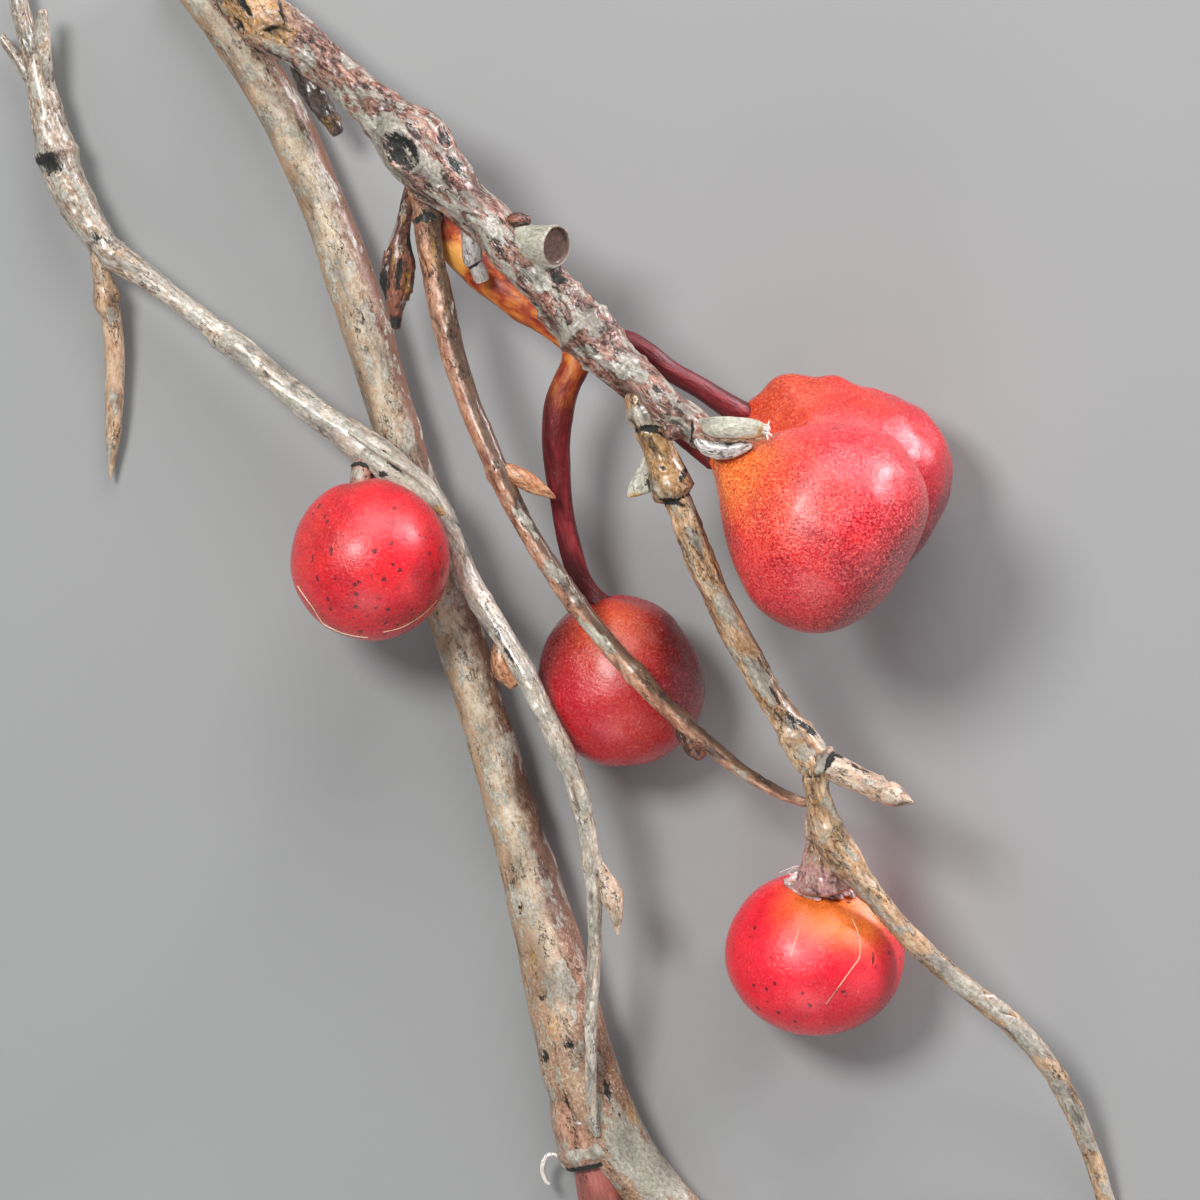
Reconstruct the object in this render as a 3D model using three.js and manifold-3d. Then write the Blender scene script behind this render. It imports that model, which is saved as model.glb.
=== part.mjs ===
// A cut sprig of red hips lying on a flat surface: a smooth main stem, a knotty twig, a whip,
// a fruiting twig and a side shoot, with thorns, buds and spurs, and five hips on their stalks.
// Units are millimetres, +Z is up and the surface is z = 0. The stems run mainly along Y.
import * as THREE from "three";
import { mergeVertices } from "three/addons/utils/BufferGeometryUtils.js";
import Module from "manifold-3d";

const wasm = await Module();
wasm.setup();

// ---------------------------------------------------------------- driving dimensions
const GAP = 0.3; // clearance left where one piece grows out of another
const THICK_SIDES = 12; // faces around a stem
const TWIG_SIDES = 10; // faces around a twig
const THIN_SIDES = 8; // faces around a whip, a thorn or a bud
const STEPS_PER_STATION = 3; // rings between two stations of a twig
const HIP_SIDES = 20; // faces around a hip
const HIP_RINGS = 7; // rings on each half of a hip
const PRESSED = 0.86; // the two hips that lie over each other are this much flatter in height

// ---------------------------------------------------------------- materials
function material(color, roughness) {
  return new THREE.MeshStandardMaterial({ color, roughness, metalness: 0 });
}
const paleBark = () => material(0xb5aa94, 0.75);
const greyBark = () => material(0xa9a596, 0.8);
const brownBark = () => material(0x8f6a4c, 0.75);
const goldenBark = () => material(0xb38a55, 0.7);
const darkWood = () => material(0x4a3a2e, 0.9);
const redBrownWood = () => material(0x9c5a4c, 0.8);
const stalkSkin = () => material(0x9b2f2a, 0.45);
const hipSkin = () => material(0xc92f3a, 0.4);

// ---------------------------------------------------------------- solids
// A closed solid for joining and cutting, from any three.js geometry that encloses a volume.
function solid(geometry) {
  const bare = geometry.clone();
  bare.deleteAttribute("normal");
  bare.deleteAttribute("uv");
  const merged = mergeVertices(bare, 1e-4);
  const vertProperties = new Float32Array(merged.attributes.position.array);
  const triVerts = new Uint32Array(merged.index.array);
  return new wasm.Manifold(new wasm.Mesh({ numProp: 3, vertProperties, triVerts }));
}

function geometryOf(body) {
  const { vertProperties, triVerts } = body.getMesh();
  const geometry = new THREE.BufferGeometry();
  geometry.setAttribute("position", new THREE.BufferAttribute(new Float32Array(vertProperties), 3));
  geometry.setIndex(new THREE.BufferAttribute(new Uint32Array(triVerts), 1));
  geometry.computeVertexNormals();
  return geometry;
}

// A round stem through stations [x, y, z, radius], swollen by `grow` all over.
function stem(stations, sides, grow = 0) {
  const curve = new THREE.CatmullRomCurve3(stations.map(([x, y, z]) => new THREE.Vector3(x, y, z)));
  const last = stations.length - 1;
  const rings = last * STEPS_PER_STATION;
  const geometry = new THREE.CylinderGeometry(1, 1, 1, sides, rings);
  const position = geometry.attributes.position;
  for (let i = 0; i < position.count; i += 1) {
    const t = THREE.MathUtils.clamp(position.getY(i) + 0.5, 0, 1);
    const station = Math.min(Math.floor(t * last), last - 1);
    const blend = THREE.MathUtils.smoothstep(t * last - station, 0, 1);
    const radius = THREE.MathUtils.lerp(stations[station][3], stations[station + 1][3], blend) + grow;
    const along = curve.getTangent(t);
    const side = new THREE.Vector3(0, 0, 1).cross(along).normalize();
    const under = side.clone().cross(along);
    const point = curve.getPoint(t);
    if (t === 0) point.addScaledVector(along, -grow);
    if (t === 1) point.addScaledVector(along, grow);
    point.addScaledVector(side, position.getX(i) * radius);
    point.addScaledVector(under, position.getZ(i) * radius);
    position.setXYZ(i, point.x, point.y, point.z);
  }
  return solid(geometry);
}

// A hip turned about its axis: a half ellipsoid away from the stalk and a shoulder that draws in
// to the neck. `shoulder` over 1 makes it pear shaped, `squareness` under 1 flattens the far end.
function hip({ at, stalkSide, radius, far, near, neck, shoulder, squareness, pressed }, grow = 0) {
  const outline = [];
  for (let i = 0; i <= HIP_RINGS; i += 1) {
    const angle = (Math.PI / 2) * (i / HIP_RINGS);
    const out = Math.sin(angle) ** squareness;
    const down = Math.cos(angle) ** squareness;
    outline.push(new THREE.Vector2((radius + grow) * out, -(far + grow) * down));
  }
  for (let i = 1; i <= HIP_RINGS; i += 1) {
    const angle = (Math.PI / 2) * (i / HIP_RINGS);
    const waist = neck + (radius - neck) * Math.cos(angle) ** shoulder;
    outline.push(new THREE.Vector2(waist + grow, (near + grow) * Math.sin(angle)));
  }
  outline[0].x = 0;
  outline.push(new THREE.Vector2(0, near + grow));
  const geometry = new THREE.LatheGeometry(outline, HIP_SIDES);
  const axis = new THREE.Vector3(...stalkSide).normalize();
  geometry.applyQuaternion(new THREE.Quaternion().setFromUnitVectors(new THREE.Vector3(0, 1, 0), axis));
  geometry.scale(1, 1, pressed);
  geometry.translate(...at);
  return solid(geometry);
}

// A round swelling, such as a dormant bud, wider along X than it is high.
function lump([x, y, z], radius) {
  const geometry = new THREE.SphereGeometry(radius, THIN_SIDES + 2, THIN_SIDES - 2);
  geometry.scale(1.15, 1, 0.9);
  geometry.translate(x, y, z);
  return solid(geometry);
}

const cut = (body, neighbours) => neighbours.reduce((rest, neighbour) => rest.subtract(neighbour), body);
const join = (bodies) => bodies.reduce((whole, body) => whole.add(body));

// ---------------------------------------------------------------- stems and twigs, as stations
const mainStemLine = [
  [-42.8, 64.0, 2.3, 2.2], [-32.6, 50.0, 3.0, 2.35], [-24.3, 30.0, 4.1, 2.55], [-18.3, 10.0, 4.5, 2.4],
  [-10.7, -15.0, 4.4, 2.4], [-5.1, -35.0, 4.2, 3.3], [-1.8, -48.0, 4.1, 3.8], [2.6, -56.5, 3.6, 3.3],
  [11.8, -66.0, 2.5, 2.5],
];
const cutStubLine = [[-1.4, -52.5, 4.0, 2.9], [-0.6, -57.0, 3.5, 2.9], [0.0, -61.8, 3.0, 2.7]];
const knottyTwigLine = [
  [-37.5, 62.5, 4.2, 2.6], [-33.8, 58.5, 6.2, 2.8], [-28.0, 53.8, 9.4, 2.3], [-21.5, 48.3, 13.6, 2.6],
  [-18.2, 45.3, 15.0, 3.8], [-13.8, 40.2, 16.0, 2.4], [-5.8, 31.8, 18.0, 2.3], [-0.5, 26.0, 19.8, 2.6],
  [4.0, 21.8, 21.8, 2.1], [9.0, 17.8, 24.6, 1.9], [11.4, 16.7, 26.5, 1.8], [15.2, 15.7, 29.2, 0.5],
];
const prunedSpurLine = [[-8.0, 35.4, 17.0, 1.9], [-4.4, 35.3, 20.4, 2.2]];
const darkStubLine = [[-30.6, 55.4, 7.4, 1.0], [-28.6, 50.6, 6.6, 1.1], [-26.3, 47.0, 6.3, 0.8]];
const witheredBudLine = [
  [-18.9, 42.0, 14.0, 0.7], [-19.8, 38.0, 12.8, 0.8], [-20.2, 33.5, 12.0, 1.6], [-20.6, 27.4, 11.2, 0.4],
];
const peggedSpurLine = [[-13.2, 38.4, 15.8, 1.0], [-12.7, 34.3, 15.2, 1.0], [-12.0, 32.2, 14.8, 0.8]];
const whipTwigLine = [
  [-17.8, 42.0, 14.6, 1.4], [-17.1, 36.0, 13.2, 1.35], [-13.0, 19.5, 14.4, 1.15], [-10.0, 12.2, 15.4, 1.1],
  [-5.9, 4.7, 16.6, 1.0], [-0.7, -2.6, 17.4, 1.0], [6.0, -10.1, 17.8, 0.95], [14.8, -17.5, 16.6, 0.7],
  [20.6, -20.3, 15.4, 0.5],
];
const whipBudLine = [[-10.2, 13.4, 15.6, 0.5], [-7.6, 12.0, 16.0, 0.95], [-4.4, 10.2, 16.4, 0.15]];
const whipSpurLine = [[7.8, -11.6, 17.6, 0.7], [9.2, -14.2, 17.0, 1.1], [10.0, -15.6, 16.8, 0.7]];
const fruitingTwigLine = [
  [4.0, 21.2, 22.0, 1.4], [5.4, 16.0, 21.5, 1.8], [7.2, 11.5, 21.0, 2.1], [8.6, 8.0, 20.7, 1.4],
  [14.5, -5.0, 19.2, 1.4], [21.0, -16.2, 18.2, 1.8], [22.0, -20.5, 17.6, 1.4], [23.4, -24.6, 16.8, 2.0],
  [26.6, -28.8, 16.0, 1.4], [34.5, -37.0, 12.6, 1.1], [46.0, -48.0, 6.2, 1.1], [50.4, -58.0, 2.4, 0.9],
  [52.3, -65.5, 0.9, 0.75],
];
const endSpurLine = [[21.2, -15.8, 18.3, 1.5], [24.0, -17.0, 18.8, 1.35], [28.2, -18.9, 19.4, 1.25]];
const endBudLine = [[28.5, -19.1, 19.5, 1.1], [29.8, -19.6, 19.7, 1.0], [31.2, -20.2, 19.9, 0.15]];
const collarBractLine = [[5.6, 15.0, 20.8, 0.5], [3.9, 12.2, 20.6, 0.9], [4.2, 10.4, 20.6, 0.5]];
const sideShootLine = [
  [-59.2, 63.0, 3.0, 0.9], [-56.0, 50.5, 3.6, 1.6], [-54.7, 45.0, 4.0, 2.1], [-49.3, 35.0, 4.9, 1.6],
  [-45.0, 32.1, 5.4, 1.25], [-35.0, 24.3, 6.8, 1.3], [-22.9, 14.8, 9.0, 1.85], [-17.5, 10.3, 9.2, 1.5],
  [-14.2, 4.7, 9.4, 1.0], [-8.9, -5.0, 12.4, 1.15], [-6.2, -10.0, 13.7, 1.05], [-3.6, -15.5, 13.8, 1.1],
  [-0.9, -26.0, 12.6, 0.9], [-0.9, -45.0, 9.8, 0.8], [-0.2, -54.0, 7.6, 0.5],
];
const sideThornLine = [
  [-50.6, 35.4, 4.8, 0.9], [-49.7, 30.3, 3.6, 1.35], [-49.2, 27.6, 3.0, 1.0], [-49.0, 20.0, 2.0, 0.9],
  [-49.4, 12.2, 1.4, 0.15],
];
const upperTwigletLine = [[-55.6, 51.0, 4.2, 0.7], [-56.2, 59.4, 5.4, 0.65]];
const outerTwigletLine = [[-57.0, 52.0, 3.6, 0.7], [-60.6, 57.0, 2.6, 0.55]];
const shootTipLine = [[-0.7, -25.4, 12.8, 0.4], [1.1, -29.6, 13.0, 1.05], [1.7, -33.5, 12.4, 0.12]];
const sideBudLine = [[-9.6, -4.4, 12.4, 0.6], [-9.7, -6.8, 12.0, 1.15], [-8.3, -8.9, 12.2, 0.4]];

// The stalk of the cluster of three: a swollen foot, a fork, and a branch to each of the hips.
const stalkFootLine = [
  [-15.2, 41.4, 13.8, 1.2], [-15.8, 37.2, 10.9, 1.3], [-12.6, 33.6, 10.8, 1.95], [-9.0, 31.0, 11.3, 2.05],
  [-4.8, 27.6, 12.0, 1.6], [-1.6, 25.2, 12.4, 1.5],
];
const centreStalkLine = [
  [-2.2, 26.0, 12.0, 1.3], [-4.1, 19.5, 11.5, 1.5], [-4.1, 11.0, 10.2, 1.2], [-2.3, 3.0, 9.0, 1.1],
  [-0.4, -0.4, 8.5, 1.1],
];
const frontStalkLine = [
  [-2.6, 25.9, 12.4, 1.2], [1.2, 22.8, 14.6, 1.3], [5.0, 19.5, 17.5, 1.2], [8.5, 16.5, 20.0, 1.2],
  [11.4, 14.1, 21.9, 1.2],
];
const backStalkLine = [
  [-3.4, 26.6, 12.1, 1.1], [2.0, 26.0, 12.6, 1.15], [7.0, 23.0, 12.4, 1.1], [12.5, 19.7, 11.0, 1.2],
  [15.2, 18.0, 10.0, 1.3],
];
const leftStalkLine = [[-23.4, 14.4, 9.3, 1.1], [-23.9, 12.4, 9.9, 1.1], [-23.9, 10.2, 11.2, 1.1]];
const lowerStalkLine = [[22.9, -23.8, 16.6, 1.4], [22.3, -26.6, 15.6, 1.6], [22.0, -29.6, 13.4, 2.2]];

// ---------------------------------------------------------------- hips
const leftHip = {
  at: [-23.0, 3.9, 14.3], stalkSide: [-0.1, 0.88, -0.38],
  radius: 8.0, far: 8.0, near: 7.9, neck: 1.6, shoulder: 1, squareness: 1, pressed: 1,
};
const centreHip = {
  at: [2.1, -8.8, 8.3], stalkSide: [-0.27, 0.96, 0.02],
  radius: 8.3, far: 8.0, near: 8.9, neck: 1.8, shoulder: 1.15, squareness: 0.98, pressed: 1,
};
const frontHip = {
  at: [22.1, 7.0, 25.8], stalkSide: [-0.8, 0.53, -0.26],
  radius: 10.3, far: 9.4, near: 12.2, neck: 1.6, shoulder: 1.35, squareness: 0.85, pressed: PRESSED,
};
const backHip = {
  at: [25.2, 10.6, 8.65], stalkSide: [-0.82, 0.56, 0.08],
  radius: 10.0, far: 9.0, near: 12.0, neck: 1.8, shoulder: 1.25, squareness: 0.85, pressed: PRESSED,
};
const lowerHip = {
  at: [21.6, -35.5, 8.55], stalkSide: [0.05, 0.79, 0.61],
  radius: 9.0, far: 7.8, near: 7.6, neck: 1.8, shoulder: 1, squareness: 1, pressed: 1,
};

// ---------------------------------------------------------------- the pieces, each cut to its neighbours
const pieces = {};
const mainStemRoom = stem(mainStemLine, THICK_SIDES, GAP);
const knottyTwigRoom = stem(knottyTwigLine, THICK_SIDES, GAP);
const sideShootRoom = stem(sideShootLine, TWIG_SIDES, GAP);
const fruitingTwigRoom = stem(fruitingTwigLine, TWIG_SIDES, GAP);
const whipTwigRoom = stem(whipTwigLine, THIN_SIDES, GAP);

function addPiece(name, body, look) {
  pieces[name] = { body, look };
}

function addStems() {
  addPiece("main_stem", stem(mainStemLine, THICK_SIDES), paleBark());
  addPiece("cut_stub", cut(stem(cutStubLine, THICK_SIDES), [mainStemRoom]), redBrownWood());
  addPiece("knotty_twig", cut(stem(knottyTwigLine, THICK_SIDES), [mainStemRoom]), greyBark());
  addPiece("whip_twig", cut(stem(whipTwigLine, THIN_SIDES), [knottyTwigRoom]), brownBark());
  addPiece("fruiting_twig", cut(stem(fruitingTwigLine, TWIG_SIDES), [knottyTwigRoom]), goldenBark());
  addPiece("side_shoot", cut(stem(sideShootLine, TWIG_SIDES), [mainStemRoom]), greyBark());
}

function addSpursAndBuds() {
  const smallPieces = [
    ["pruned_spur", prunedSpurLine, [knottyTwigRoom], darkWood],
    ["dark_stub", darkStubLine, [knottyTwigRoom, mainStemRoom], darkWood],
    ["withered_bud", witheredBudLine, [knottyTwigRoom, whipTwigRoom], darkWood],
    ["pegged_spur", peggedSpurLine, [knottyTwigRoom], greyBark],
    ["whip_bud", whipBudLine, [whipTwigRoom], goldenBark],
    ["whip_spur", whipSpurLine, [whipTwigRoom], darkWood],
    ["end_spur", endSpurLine, [fruitingTwigRoom], paleBark],
    ["end_bud", endBudLine, [stem(endSpurLine, THIN_SIDES, GAP)], goldenBark],
    ["collar_bract", collarBractLine, [fruitingTwigRoom], greyBark],
    ["side_thorn", sideThornLine, [sideShootRoom], goldenBark],
    ["upper_twiglet", upperTwigletLine, [sideShootRoom], paleBark],
    ["outer_twiglet", outerTwigletLine, [sideShootRoom], paleBark],
    ["shoot_tip", shootTipLine, [sideShootRoom], greyBark],
    ["side_bud", sideBudLine, [sideShootRoom], brownBark],
  ];
  for (const [name, line, neighbours, look] of smallPieces) {
    addPiece(name, cut(stem(line, THIN_SIDES), neighbours), look());
  }
  const knotBuds = [[[-7.9, 38.0, 18.2], 1.1], [[-0.6, 25.2, 22.2], 0.9], [[7.3, 16.6, 24.4], 0.9]];
  knotBuds.forEach(([at, radius], i) => {
    const neighbours = [knottyTwigRoom, fruitingTwigRoom, stem(prunedSpurLine, THIN_SIDES, GAP)];
    addPiece(`knot_bud_${i + 1}`, cut(lump(at, radius), neighbours), darkWood());
  });
}

function addHips() {
  const hips = {
    hip_left: leftHip, hip_centre: centreHip, hip_front: frontHip, hip_back: backHip, hip_lower: lowerHip,
  };
  for (const [name, shape] of Object.entries(hips)) addPiece(name, hip(shape), hipSkin());

  const clusterStalk = join([
    stem(stalkFootLine, TWIG_SIDES), stem(centreStalkLine, TWIG_SIDES),
    stem(frontStalkLine, THIN_SIDES), stem(backStalkLine, THIN_SIDES),
  ]);
  const clusterHips = [centreHip, frontHip, backHip].map((shape) => hip(shape, GAP));
  addPiece("cluster_stalk", cut(clusterStalk, [knottyTwigRoom, whipTwigRoom, ...clusterHips]), stalkSkin());
  const leftStalk = cut(stem(leftStalkLine, THIN_SIDES), [sideShootRoom, hip(leftHip, GAP)]);
  addPiece("left_stalk", leftStalk, redBrownWood());
  const lowerStalk = cut(stem(lowerStalkLine, THIN_SIDES), [fruitingTwigRoom, hip(lowerHip, GAP)]);
  addPiece("lower_stalk", lowerStalk, redBrownWood());
}

addStems();
addSpursAndBuds();
addHips();

const sprig = new THREE.Group();
for (const [name, { body, look }] of Object.entries(pieces)) {
  const mesh = new THREE.Mesh(geometryOf(body), look);
  mesh.name = name;
  sprig.add(mesh);
}

// The origin is the middle of the footprint, on the surface.
const extent = new THREE.Box3().setFromObject(sprig);
const middle = extent.getCenter(new THREE.Vector3());
sprig.position.set(-middle.x, -middle.y, -extent.min.z);
sprig.updateMatrixWorld(true);

export default sprig;
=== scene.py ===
# %% [markdown]
# # A sprig of red hips, lying down
#
# A cut sprig: one smooth stem, a knotty twig and three thinner ones, with buds, spurs and a
# thorn, and five waxy red hips. The CAD frame gives the place and the collision of every
# piece. Here each piece gets its real skin: bark with ridges, rings, scars and lichen, and
# hips with a blush, dark specks and a grainy shine.
#
# All lengths below are millimetres on a sketch of the sprig seen from above, with X to the
# right, Y along the stems and Z up from the surface. Blender works in metres.

# %% Load the frame
import math

import bpy
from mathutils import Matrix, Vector, noise


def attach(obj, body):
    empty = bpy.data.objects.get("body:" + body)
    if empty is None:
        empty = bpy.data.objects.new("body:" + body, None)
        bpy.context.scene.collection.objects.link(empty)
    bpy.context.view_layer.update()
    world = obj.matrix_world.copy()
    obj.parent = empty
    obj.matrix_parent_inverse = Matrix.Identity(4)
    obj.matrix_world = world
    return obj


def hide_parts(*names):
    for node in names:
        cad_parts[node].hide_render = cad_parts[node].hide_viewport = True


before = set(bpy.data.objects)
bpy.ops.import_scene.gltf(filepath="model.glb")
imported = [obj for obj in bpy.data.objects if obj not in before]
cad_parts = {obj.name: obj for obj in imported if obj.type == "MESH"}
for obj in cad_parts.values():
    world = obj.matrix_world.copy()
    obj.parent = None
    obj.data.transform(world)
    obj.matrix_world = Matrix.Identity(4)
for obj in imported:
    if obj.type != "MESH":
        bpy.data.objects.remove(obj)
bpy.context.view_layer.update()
MM = 0.001
SKETCH_ORIGIN = Vector((4.022, 1.222, -0.002))  # where the sketch's zero lies in the frame


def place(point):
    """A sketch point in millimetres as a point of the frame in metres."""
    return (Vector(point[:3]) + SKETCH_ORIGIN) * MM


# %% [markdown]
# ## Small tools
# Operators act on whatever is selected, so each new shape starts by deselecting everything.
# A finished piece is named, rides on the sprig's one body, takes the finish that it is given,
# and stands for its CAD solid.


def start_fresh():
    if bpy.context.mode != "OBJECT":
        bpy.ops.object.mode_set(mode="OBJECT")
    bpy.ops.object.select_all(action="DESELECT")


def choose(*objects):
    start_fresh()
    for item in objects:
        item.select_set(True)
    bpy.context.view_layer.objects.active = objects[0]


def finish_piece(piece, name, material, node, replaced=True):
    piece.name = name
    piece.data.name = name
    piece.data.materials.clear()
    piece.data.materials.append(material)
    choose(piece)
    bpy.ops.object.shade_smooth()
    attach(piece, "root")
    if replaced:
        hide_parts(node)
    print(f"{name}: {len(piece.data.polygons)} faces")
    return piece


def set_vectors(mesh, name, values):
    """One vector for each vertex, which a material reads by that name."""
    attribute = mesh.attributes.new(name, "FLOAT_VECTOR", "POINT")
    attribute.data.foreach_set("vector", [number for value in values for number in value])


# %% [markdown]
# ## Node helpers
# A material is a small graph of nodes. These helpers add one node or a few, such as a
# stretched noise, a colour ramp, a soft threshold or a mix, so that a finish reads as a list
# of layers. A number that never changes is set on the socket itself.

# %% Colours and nodes
def srgb(red, green, blue):
    """A colour as painters write it, 0 to 255, in the linear values that Blender mixes."""
    def linear(value):
        share = value / 255
        return share / 12.92 if share <= 0.04045 else ((share + 0.055) / 1.055) ** 2.4
    return linear(red), linear(green), linear(blue), 1.0


def new_finish(name):
    material = bpy.data.materials.new(name)
    material.use_nodes = True
    return material, material.node_tree, material.node_tree.nodes["Principled BSDF"]


def add(tree, kind, inputs, **settings):
    """A new node. An input is either another node's output, which is linked, or a plain value."""
    node = tree.nodes.new("ShaderNode" + kind)
    for key, value in settings.items():
        setattr(node, key, value)
    for key, value in inputs.items():
        if isinstance(value, bpy.types.NodeSocket):
            tree.links.new(value, node.inputs[key])
        else:
            node.inputs[key].default_value = value
    return node


def attribute(tree, name):
    """The vectors that set_vectors stored on the mesh by this name."""
    return add(tree, "Attribute", {}, attribute_name=name).outputs["Vector"]


def parts_of(tree, vector):
    """The X, Y and Z of a vector, as three values."""
    return add(tree, "SeparateXYZ", {"Vector": vector}).outputs


def stretched_noise(tree, where, scale, detail=4, roughness=0.55, offset=0.0):
    """Noise from 0 to 1 whose blobs are 1/scale long on each axis."""
    shift = (offset, offset, offset)
    mapped = add(tree, "Mapping", {"Vector": where, "Scale": scale, "Location": shift})
    texture = add(tree, "TexNoise", {
        "Vector": mapped.outputs["Vector"], "Scale": 1.0, "Detail": detail, "Roughness": roughness,
    })
    return texture.outputs["Fac"]


def ramp(tree, value, stops):
    """A colour for each value: stops are (value, colour), and colours blend between them."""
    node = add(tree, "ValToRGB", {"Fac": value})
    elements = node.color_ramp.elements
    while len(elements) < len(stops):
        elements.new(0.5)
    for element, (position, colour) in zip(elements, stops):
        element.position = position
        element.color = colour
    return node.outputs["Color"]


def threshold(tree, value, low, high):
    """0 below low, 1 above high, smooth between them."""
    node = add(tree, "MapRange", {"Value": value, "From Min": low, "From Max": high},
               interpolation_type="SMOOTHSTEP")
    return node.outputs["Result"]


def mix(tree, share, first, second, kind="MIX"):
    """Two colours mixed. The node's colour sockets are numbers 6 and 7, its colour output number 2."""
    inputs = {0: share, 6: first, 7: second}
    return add(tree, "Mix", inputs, data_type="RGBA", blend_type=kind).outputs[2]


def cover(tree, mask, strength, colour, layer):
    """The colour with a layer laid over it where the mask is 1, as strong as strength."""
    return mix(tree, maths(tree, "MULTIPLY", mask, strength), colour, layer)


def shaded_by(colour, share):
    """The colour brighter or darker by this share."""
    return [min(1.0, share * channel) for channel in colour[:3]] + [1]


def maths(tree, operation, first, second=0.0):
    node = add(tree, "Math", {0: first, 1: second}, operation=operation)
    return node.outputs["Value"]


def weighted(tree, parts, start=0.0):
    """start plus each value times its weight."""
    total = start
    for value, weight in parts:
        step = add(tree, "Math", {0: value, 1: weight, 2: total}, operation="MULTIPLY_ADD")
        total = step.outputs["Value"]
    return total


def bump(tree, shader, heights, distance):
    """Adds the heights up, each with its weight, and tilts the surface by them."""
    total = weighted(tree, heights)
    node = add(tree, "Bump", {"Height": total, "Strength": 1.0, "Distance": distance})
    tree.links.new(node.outputs["Normal"], shader.inputs["Normal"])


# %% [markdown]
# ## Bark
# A twig bends, so its patterns can't read straight coordinates. Each twig carries three
# vectors for them at every point:
#
# - `grain` is the place, in millimetres, that the point would have if the twig were pulled
#   straight. X is to one side, Y is up, and Z is the way along it.
# - `marks` is how dark, how ochre and how pale a scar there is.
# - `form` is how much bare wood shows, how high the point stands in the relief, and how deep
#   in a crack it is.
#
# The bark is layers, one over the other: a streaked skin with tints, one of which is partly
# painted shade on one flank, islands of grey-green lichen, ochre stains, silvery scratches that
# are partly painted glints, black flecks and lines, painted shade low in the relief, scars,
# and bare wood at sawn ends. A thin gloss coat lies over all but the black parts.

# %% Colours of the bark's layers
LICHEN = srgb(178, 174, 158)
LICHEN_EDGE = srgb(136, 128, 106)
LICHEN_POWDER = srgb(212, 208, 196)
# Silvery scratches: partly pale bark, partly painted glints.
SILVER_AND_GLINT = srgb(238, 232, 226)
BLACK = srgb(34, 36, 32)
OCHRE = srgb(204, 148, 60)
HEARTWOOD = srgb(84, 58, 44)
PINK = srgb(190, 124, 128)
# A ramp of painted shade: darkest where the relief is lowest.
HOLLOW_SHADE = [(0.15, (0.22, 0.19, 0.17, 1)), (0.42, (0.72, 0.70, 0.68, 1)), (0.6, (1, 1, 1, 1))]


# %% Tints of the skin
def edge_layer(tree, skin, side, mottle, edge_tint):
    """Both flanks take a tint, from `first` to `full` millimetres off the top line."""
    tint, first, full = edge_tint
    off_top = maths(tree, "ABSOLUTE", side)
    ragged = weighted(tree, [(off_top, 1.0), (mottle, 5.0)], -2.5)
    return cover(tree, threshold(tree, ragged, first, full), 0.7, skin, tint)


def dark_side_and_shade_layer(tree, skin, side, streaks, dark_side_and_shade, side_reach):
    """One flank, the one away from the key lamp, takes a dark tint, partly the bark's own colour
    and partly painted shade; side_reach is how ragged its edge is and where it starts and is full.
    """
    raggedness, first, full = side_reach
    ragged = weighted(tree, [(side, 1.0), (streaks, raggedness)], -raggedness / 2)
    return cover(tree, threshold(tree, ragged, first, full), 0.85, skin, dark_side_and_shade)


def foot_layer(tree, skin, along, streaks, mottle, light, foot_tint):
    """One end takes a mottled tint, which starts at `first` millimetres along the twig and is
    full at `full`."""
    tint, first, full = foot_tint
    ragged = weighted(tree, [(along, 1.0), (streaks, 60.0), (mottle, 40.0)])
    average = 50  # what the two noises add to a point's place along the twig
    mask = threshold(tree, ragged, first + average, full + average)
    tints = ramp(tree, mottle, [(0.38, shaded_by(tint, 0.45)), (0.5, tint), (0.62, light)])
    return cover(tree, mask, 0.75, skin, tints)


# %% Flecks and lines
def black_flecks(tree, grain, fleck):
    """The crack noise, and a mask of flecks that gather in flocks with thin wavy lines near them."""
    flock = stretched_noise(tree, grain, (0.6, 0.6, 0.25), 3, 0.6, 91)
    cracks = stretched_noise(tree, grain, (3.0, 3.0, 1.3), 6, 0.75, 53)
    flocked = weighted(tree, [(cracks, 1.0), (flock, 0.9)])
    flecks = threshold(tree, flocked, 1.23 - 0.2 * fleck, 1.26 - 0.2 * fleck)
    wavy = stretched_noise(tree, grain, (1.2, 1.2, 0.5), 6, 0.62, 23)
    near_half = maths(tree, "ABSOLUTE", weighted(tree, [(wavy, 1.0)], -0.5))
    in_flock = threshold(tree, flock, 0.56 - 0.16 * fleck, 0.62 - 0.16 * fleck)
    lines = maths(tree, "MULTIPLY", threshold(tree, near_half, 0.016, 0.005), in_flock)
    return cracks, maths(tree, "MAXIMUM", flecks, lines)


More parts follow.
